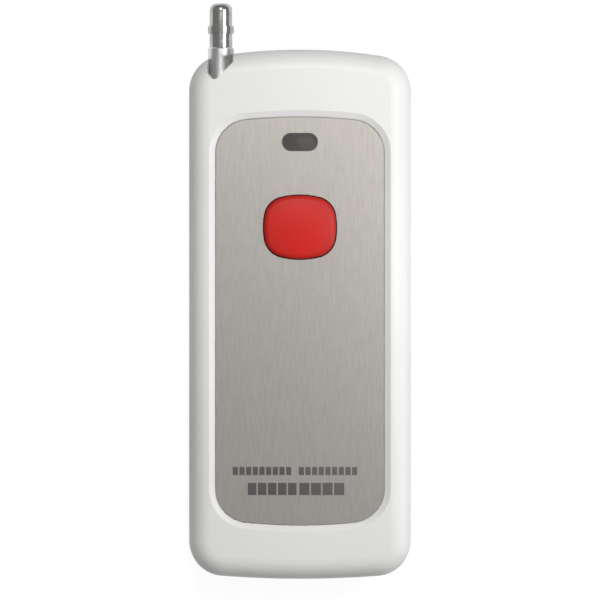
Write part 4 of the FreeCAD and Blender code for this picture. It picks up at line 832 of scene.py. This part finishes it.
def rotor_mask(tree, at):
    """The rotor's round face, on the side away from the board."""
    outer = short_of(tree, at["Z"], trimmer_low.z + ROTOR_HEIGHT, 0.1 * MM)
    spot = round_spot(tree, at, trimmer_mid.x, trimmer_mid.y, ROTOR_RADIUS)
    return math_step(tree, "MULTIPLY", outer, spot)


dress(part_with_tin("trimmer_amber", (0.62, 0.38, 0.09), (0.52, 0.31, 0.07), 0.42, rotor_mask),
      "trimmer_capacitor")

# Output transistor
# A small black epoxy body with one flat side, moulded round three leads that stand in holes in
# the board.

dress(plastic("transistor_epoxy", (0.04, 0.04, 0.042), (0.028, 0.028, 0.03), 0.5, 8 * MICRON),
      "output_transistor")

# Chip resistors and chip capacitors
# Machine-placed parts two millimetres long: resistors black on top, capacitors bare tan
# ceramic, all with tinned ends.

CHIP_PART_MIDDLE = 0.7 * MM

for node, name, colour, deep, roughness in (
    ("chip_resistors", "resistor_glaze", (0.035, 0.035, 0.04), (0.025, 0.025, 0.03), 0.35),
    ("chip_capacitors", "ceramic_tan", (0.5, 0.4, 0.26), (0.43, 0.34, 0.21), 0.55),
):
    end_caps = beyond_x(CHIP_PART_MIDDLE, 0.04 * MM, middle_of(node).x)
    dress(part_with_tin(name, colour, deep, roughness, end_caps), node)

# Tank coil
# Enamelled copper wire wound on a former that is then drawn out, so the coil stands in air. Its
# two ends are soldered into the board.

dress(metal("enamelled_copper", (0.72, 0.34, 0.16), (0.58, 0.25, 0.11), 0.24), "tank_coil")

# Battery
# A 12 V stick cell of eight buttons in a printed shrink sleeve: plain fields of dark blue and
# brass colour, with the steel of the cell bare at both ends.

SHOULDER = 1.0 * MM
SLEEVE_LAP = 0.5 * MM
BRASS_FIELD, FIELD_COLOUR = 8.0 * MM, (0.62, 0.42, 0.15)
RULE_AT, RULE_HALF_WIDTH, RULE_COLOUR = BRASS_FIELD + 1.2 * MM, 0.3 * MM, (0.8, 0.8, 0.76)
PRINT_SOFT = 0.04 * MM
SLEEVE_THICKNESS = 0.08 * MM

battery_low, battery_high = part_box("battery")
sleeved, tree, shader, place = start_material(
    "battery_sleeve", Coat_Weight=0.3, Coat_Roughness=0.08
)
at = split(tree, place)
skin = use_group(tree, MOULDED, place, Colour=(0.04, 0.07, 0.2), Deep_Colour=(0.03, 0.055, 0.16),
                 Roughness=0.24)
steel = use_group(tree, DRAWN, place, Colour=(0.66, 0.66, 0.66), Dull_Colour=(0.55, 0.55, 0.55),
                  Roughness=0.28)
shoulder = battery_low.y + SHOULDER
field = short_of(tree, at["Y"], shoulder + BRASS_FIELD, 0.05 * MM)
rule = near(tree, at["Y"], shoulder + RULE_AT, RULE_HALF_WIDTH, PRINT_SOFT)
printed = mixed(tree, rule, mixed(tree, field, skin["Colour"], FIELD_COLOUR), RULE_COLOUR)
nose = short_of(tree, at["Y"], shoulder + SLEEVE_LAP, PRINT_SOFT)
tail = beyond(tree, at["Y"], battery_high.y - SLEEVE_LAP - PRINT_SOFT, PRINT_SOFT)
bare = math_step(tree, "MAXIMUM", nose, tail)
link_finish(tree, shader, mixed(tree, bare, printed, steel["Colour"]), skin["Roughness"], bare)
raise_surface(tree, shader, math_step(tree, "SUBTRACT", 1.0, bare), SLEEVE_THICKNESS)
dress(sleeved, "battery")

# Battery contacts
# A flat plate at one end of the bay and a conical spring on a plate at the other, both of
# nickel-plated spring steel, their tails soldered into the board.

contact_nickel = metal("contact_nickel", (0.68, 0.66, 0.61), (0.56, 0.54, 0.49), 0.35)
dress(contact_nickel, "positive_contact", "negative_contact", "negative_spring")

# Antenna tubes and tip
# Brass tubes drawn thin and chromed, one sliding in the next, with a turned tip to pull them
# out by. The chrome shows fine lines along it from the drawing and hazes where it is handled.

TUBING = worked_metal_group("polished_tube", marks=3500.0, squeeze=0.02, detail=2.0,
                            patches=420.0, dull_from=0.4, dullest=1.4)


def chromed(name, colour, dull, roughness):
    """Chrome plate on drawn or turned brass."""
    return skinned(name, TUBING, MICRON, {"Metallic": 1.0}, Colour=colour, Dull_Colour=dull,
                   Roughness=roughness)


chrome = chromed("antenna_chrome", (0.46, 0.46, 0.455), (0.38, 0.38, 0.375), 0.19)
dress(chrome, "antenna_tube", "antenna_section_1", "antenna_section_2", "antenna_section_3",
      "antenna_rod")
dress(chromed("tip_chrome", (0.455, 0.455, 0.445), (0.37, 0.37, 0.36), 0.19), "antenna_tip")

# Antenna bush
# A turned brass bush, nickel plated, that the two halves of the case clamp in the corner. The
# antenna comes out through it.

dress(metal("bush_nickel", (0.64, 0.64, 0.645), (0.55, 0.55, 0.555), 0.4), "antenna_bush")

# Antenna foot and its fixing
# The tube ends in a brass plug with a flat tongue. A steel screw and nut clamp the tongue to
# the board over a nylon spacer, and they make the contact to a tinned ring on the board.

RING_INNER, RING_OUTER, RING_FILM = 2.4 * MM, 3.3 * MM, 0.05 * MM
RING_STEPS = 48

dress(metal("foot_brass", (0.72, 0.52, 0.24), (0.58, 0.41, 0.19), 0.3), "antenna_foot")
dress(metal("antenna_screw_steel", (0.62, 0.62, 0.63), (0.5, 0.5, 0.51), 0.28), "antenna_screw")
dress(metal("nut_steel", (0.64, 0.63, 0.6), (0.52, 0.51, 0.48), 0.28), "antenna_nut")
dress(plastic("spacer_nylon", (0.76, 0.74, 0.68), (0.7, 0.68, 0.62), 0.5), "antenna_spacer")

nut_at = middle_of("antenna_nut")
ring_at = Vector((nut_at.x, nut_at.y, board_top))
section = ((RING_INNER, 0.0), (RING_INNER, RING_FILM), (RING_OUTER, RING_FILM), (RING_OUTER, 0.0))
ring = bmesh.new()
corners = []
for step in range(RING_STEPS):
    turn = 2 * math.pi * step / RING_STEPS
    outward = Vector((math.cos(turn), math.sin(turn), 0.0))
    corners.append([
        ring.verts.new(ring_at + radius * outward + Vector((0.0, 0.0, rise)))
        for radius, rise in section
    ])
for step, around in enumerate(corners):
    following = corners[(step + 1) % RING_STEPS]
    for i in range(len(section)):
        j = (i + 1) % len(section)
        ring.faces.new((around[i], following[i], following[j], around[j]))
bmesh.ops.recalc_face_normals(ring, faces=ring.faces)
ring_mesh = bpy.data.meshes.new("antenna_pad")
ring.to_mesh(ring_mesh)
ring.free()
ring_mesh.materials.append(solder)
piece("antenna_pad", ring_mesh, "case")

# Table
# A plain white table top, matt, that keeps the remote's soft shadow and shows white itself.
# From below it is clear, and light comes through it where the remote touches it, so that the
# remote's back can be looked at as well.

TABLE_SIZE = 3.0
TABLE_WHITE = 0.3
TABLE_GLOW = 0.88
TABLE_DROP = 0.02 * MM
CONTACT = 1.0 * MM
WHITE = (1.0, 1.0, 1.0)

half = TABLE_SIZE / 2
table_mesh = bpy.data.meshes.new("table")
table_mesh.from_pydata(
    [(-half, -half, 0), (half, -half, 0), (half, half, 0), (-half, half, 0)], [], [(0, 1, 2, 3)]
)
table = bpy.data.objects.new("table", table_mesh)
bpy.context.scene.collection.objects.link(table)
table.location.z = -TABLE_DROP
paper, tree, shader, _ = start_material(
    "white_table", Base_Color=(TABLE_WHITE, TABLE_WHITE, TABLE_WHITE), Emission_Color=WHITE,
    Roughness=0.9, Specular_IOR_Level=0.1,
)
seen = tree.nodes.new("ShaderNodeLightPath").outputs
direct = math_step(tree, "MAXIMUM", seen["Is Camera Ray"], seen["Is Glossy Ray"])
shown = math_step(tree, "MAXIMUM", direct, seen["Is Transmission Ray"])
tree.links.new(math_step(tree, "MULTIPLY", shown, TABLE_GLOW), shader.inputs["Emission Strength"])
from_below = tree.nodes.new("ShaderNodeNewGeometry").outputs["Backfacing"]
at_contact = math_step(tree, "LESS_THAN", seen["Ray Length"], CONTACT)
clear = tree.nodes.new("ShaderNodeBsdfTransparent").outputs[0]
see_through = tree.nodes.new("ShaderNodeMixShader")
choices = (math_step(tree, "MAXIMUM", from_below, at_contact), shader.outputs["BSDF"], clear)
for socket, value in zip(see_through.inputs, choices):
    tree.links.new(value, socket)
tree.links.new(see_through.outputs[0], tree.nodes["Material Output"].inputs["Surface"])
table_mesh.materials.append(paper)

# Lights
# A pale room that dims towards the horizon, with light from below for the remote's back. A soft
# lamp near the remote, above its right side, leaves the left edge in shade. A higher lamp
# towards the antenna end lights the head, and a low one from the right lifts that edge.

ROOM_ABOVE = 0.34
ROOM_LEVEL = 0.16
ROOM_BELOW = 0.7
ROOM_GLOSS = 0.3
ROOM_TONE = (1.0, 0.985, 0.965)
LEVEL_BAND = 0.1  # how far below the horizon the light from below is full

world = bpy.data.worlds.new("pale_room")
bpy.context.scene.world = world
world.use_nodes = True
tree = world.node_tree
room = tree.nodes["Background"]
seen = tree.nodes.new("ShaderNodeLightPath").outputs
in_metal = math_step(tree, "MULTIPLY", seen["Is Glossy Ray"], ROOM_GLOSS)
in_view = math_step(tree, "MAXIMUM", seen["Is Camera Ray"], seen["Is Transmission Ray"])
shown = math_step(tree, "MAXIMUM", in_view, in_metal)
up = split(tree, tree.nodes.new("ShaderNodeTexCoord").outputs["Generated"])["Z"]
strength = math_step(tree, "MAXIMUM", remapped(tree, up, 0.0, 1.0, ROOM_LEVEL, ROOM_ABOVE),
                     remapped(tree, up, -LEVEL_BAND, 0.0, ROOM_BELOW, ROOM_LEVEL))
tree.links.new(math_step(tree, "MAXIMUM", shown, strength), room.inputs["Strength"])
tree.links.new(mixed(tree, in_view, ROOM_TONE, WHITE), room.inputs["Color"])


def lamp(name, place, aim, size, watts):
    """A square soft lamp that the camera doesn't see."""
    light = bpy.data.lights.new(name, "AREA")
    light.size = size
    light.energy = watts
    made = bpy.data.objects.new(name, light)
    bpy.context.scene.collection.objects.link(made)
    made.location = place
    made.rotation_euler = (Vector(aim) - Vector(place)).to_track_quat("-Z", "Y").to_euler()
    made.visible_camera = False


lamp("near_lamp", (0.115, 0.04, 0.19), aim=(0.0, 0.015, 0.01), size=0.09, watts=0.202)
lamp("side_lamp", (0.36, -0.1, 0.09), aim=(0.02, -0.06, 0.015), size=0.2, watts=0.36)
lamp("high_lamp", (-0.02, 0.19, 0.4), aim=(0.0, 0.03, 0.01), size=0.1, watts=0.46)

# Camera
# It looks straight down, far enough away to flatten the view as the photograph is, with the
# case's seam at the photograph's scale.

PIXELS_ACROSS = 600
MM_PER_PIXEL = 0.2252
MIDDLE_ROW = 314.06
CAMERA_HEIGHT = 1.0
SENSOR_WIDTH = 36.0

camera_data = bpy.data.cameras.new("camera")
camera_data.sensor_width = SENSOR_WIDTH
seen_width = PIXELS_ACROSS * MM_PER_PIXEL * MM
camera_data.lens = SENSOR_WIDTH * (CAMERA_HEIGHT - SEAM_HEIGHT) / seen_width
camera = bpy.data.objects.new("camera", camera_data)
bpy.context.scene.collection.objects.link(camera)
camera.location = (0.0, (MIDDLE_ROW - PIXELS_ACROSS / 2) * MM_PER_PIXEL * MM, CAMERA_HEIGHT)
bpy.context.scene.camera = camera

bpy.context.scene.view_settings.view_transform = "Standard"
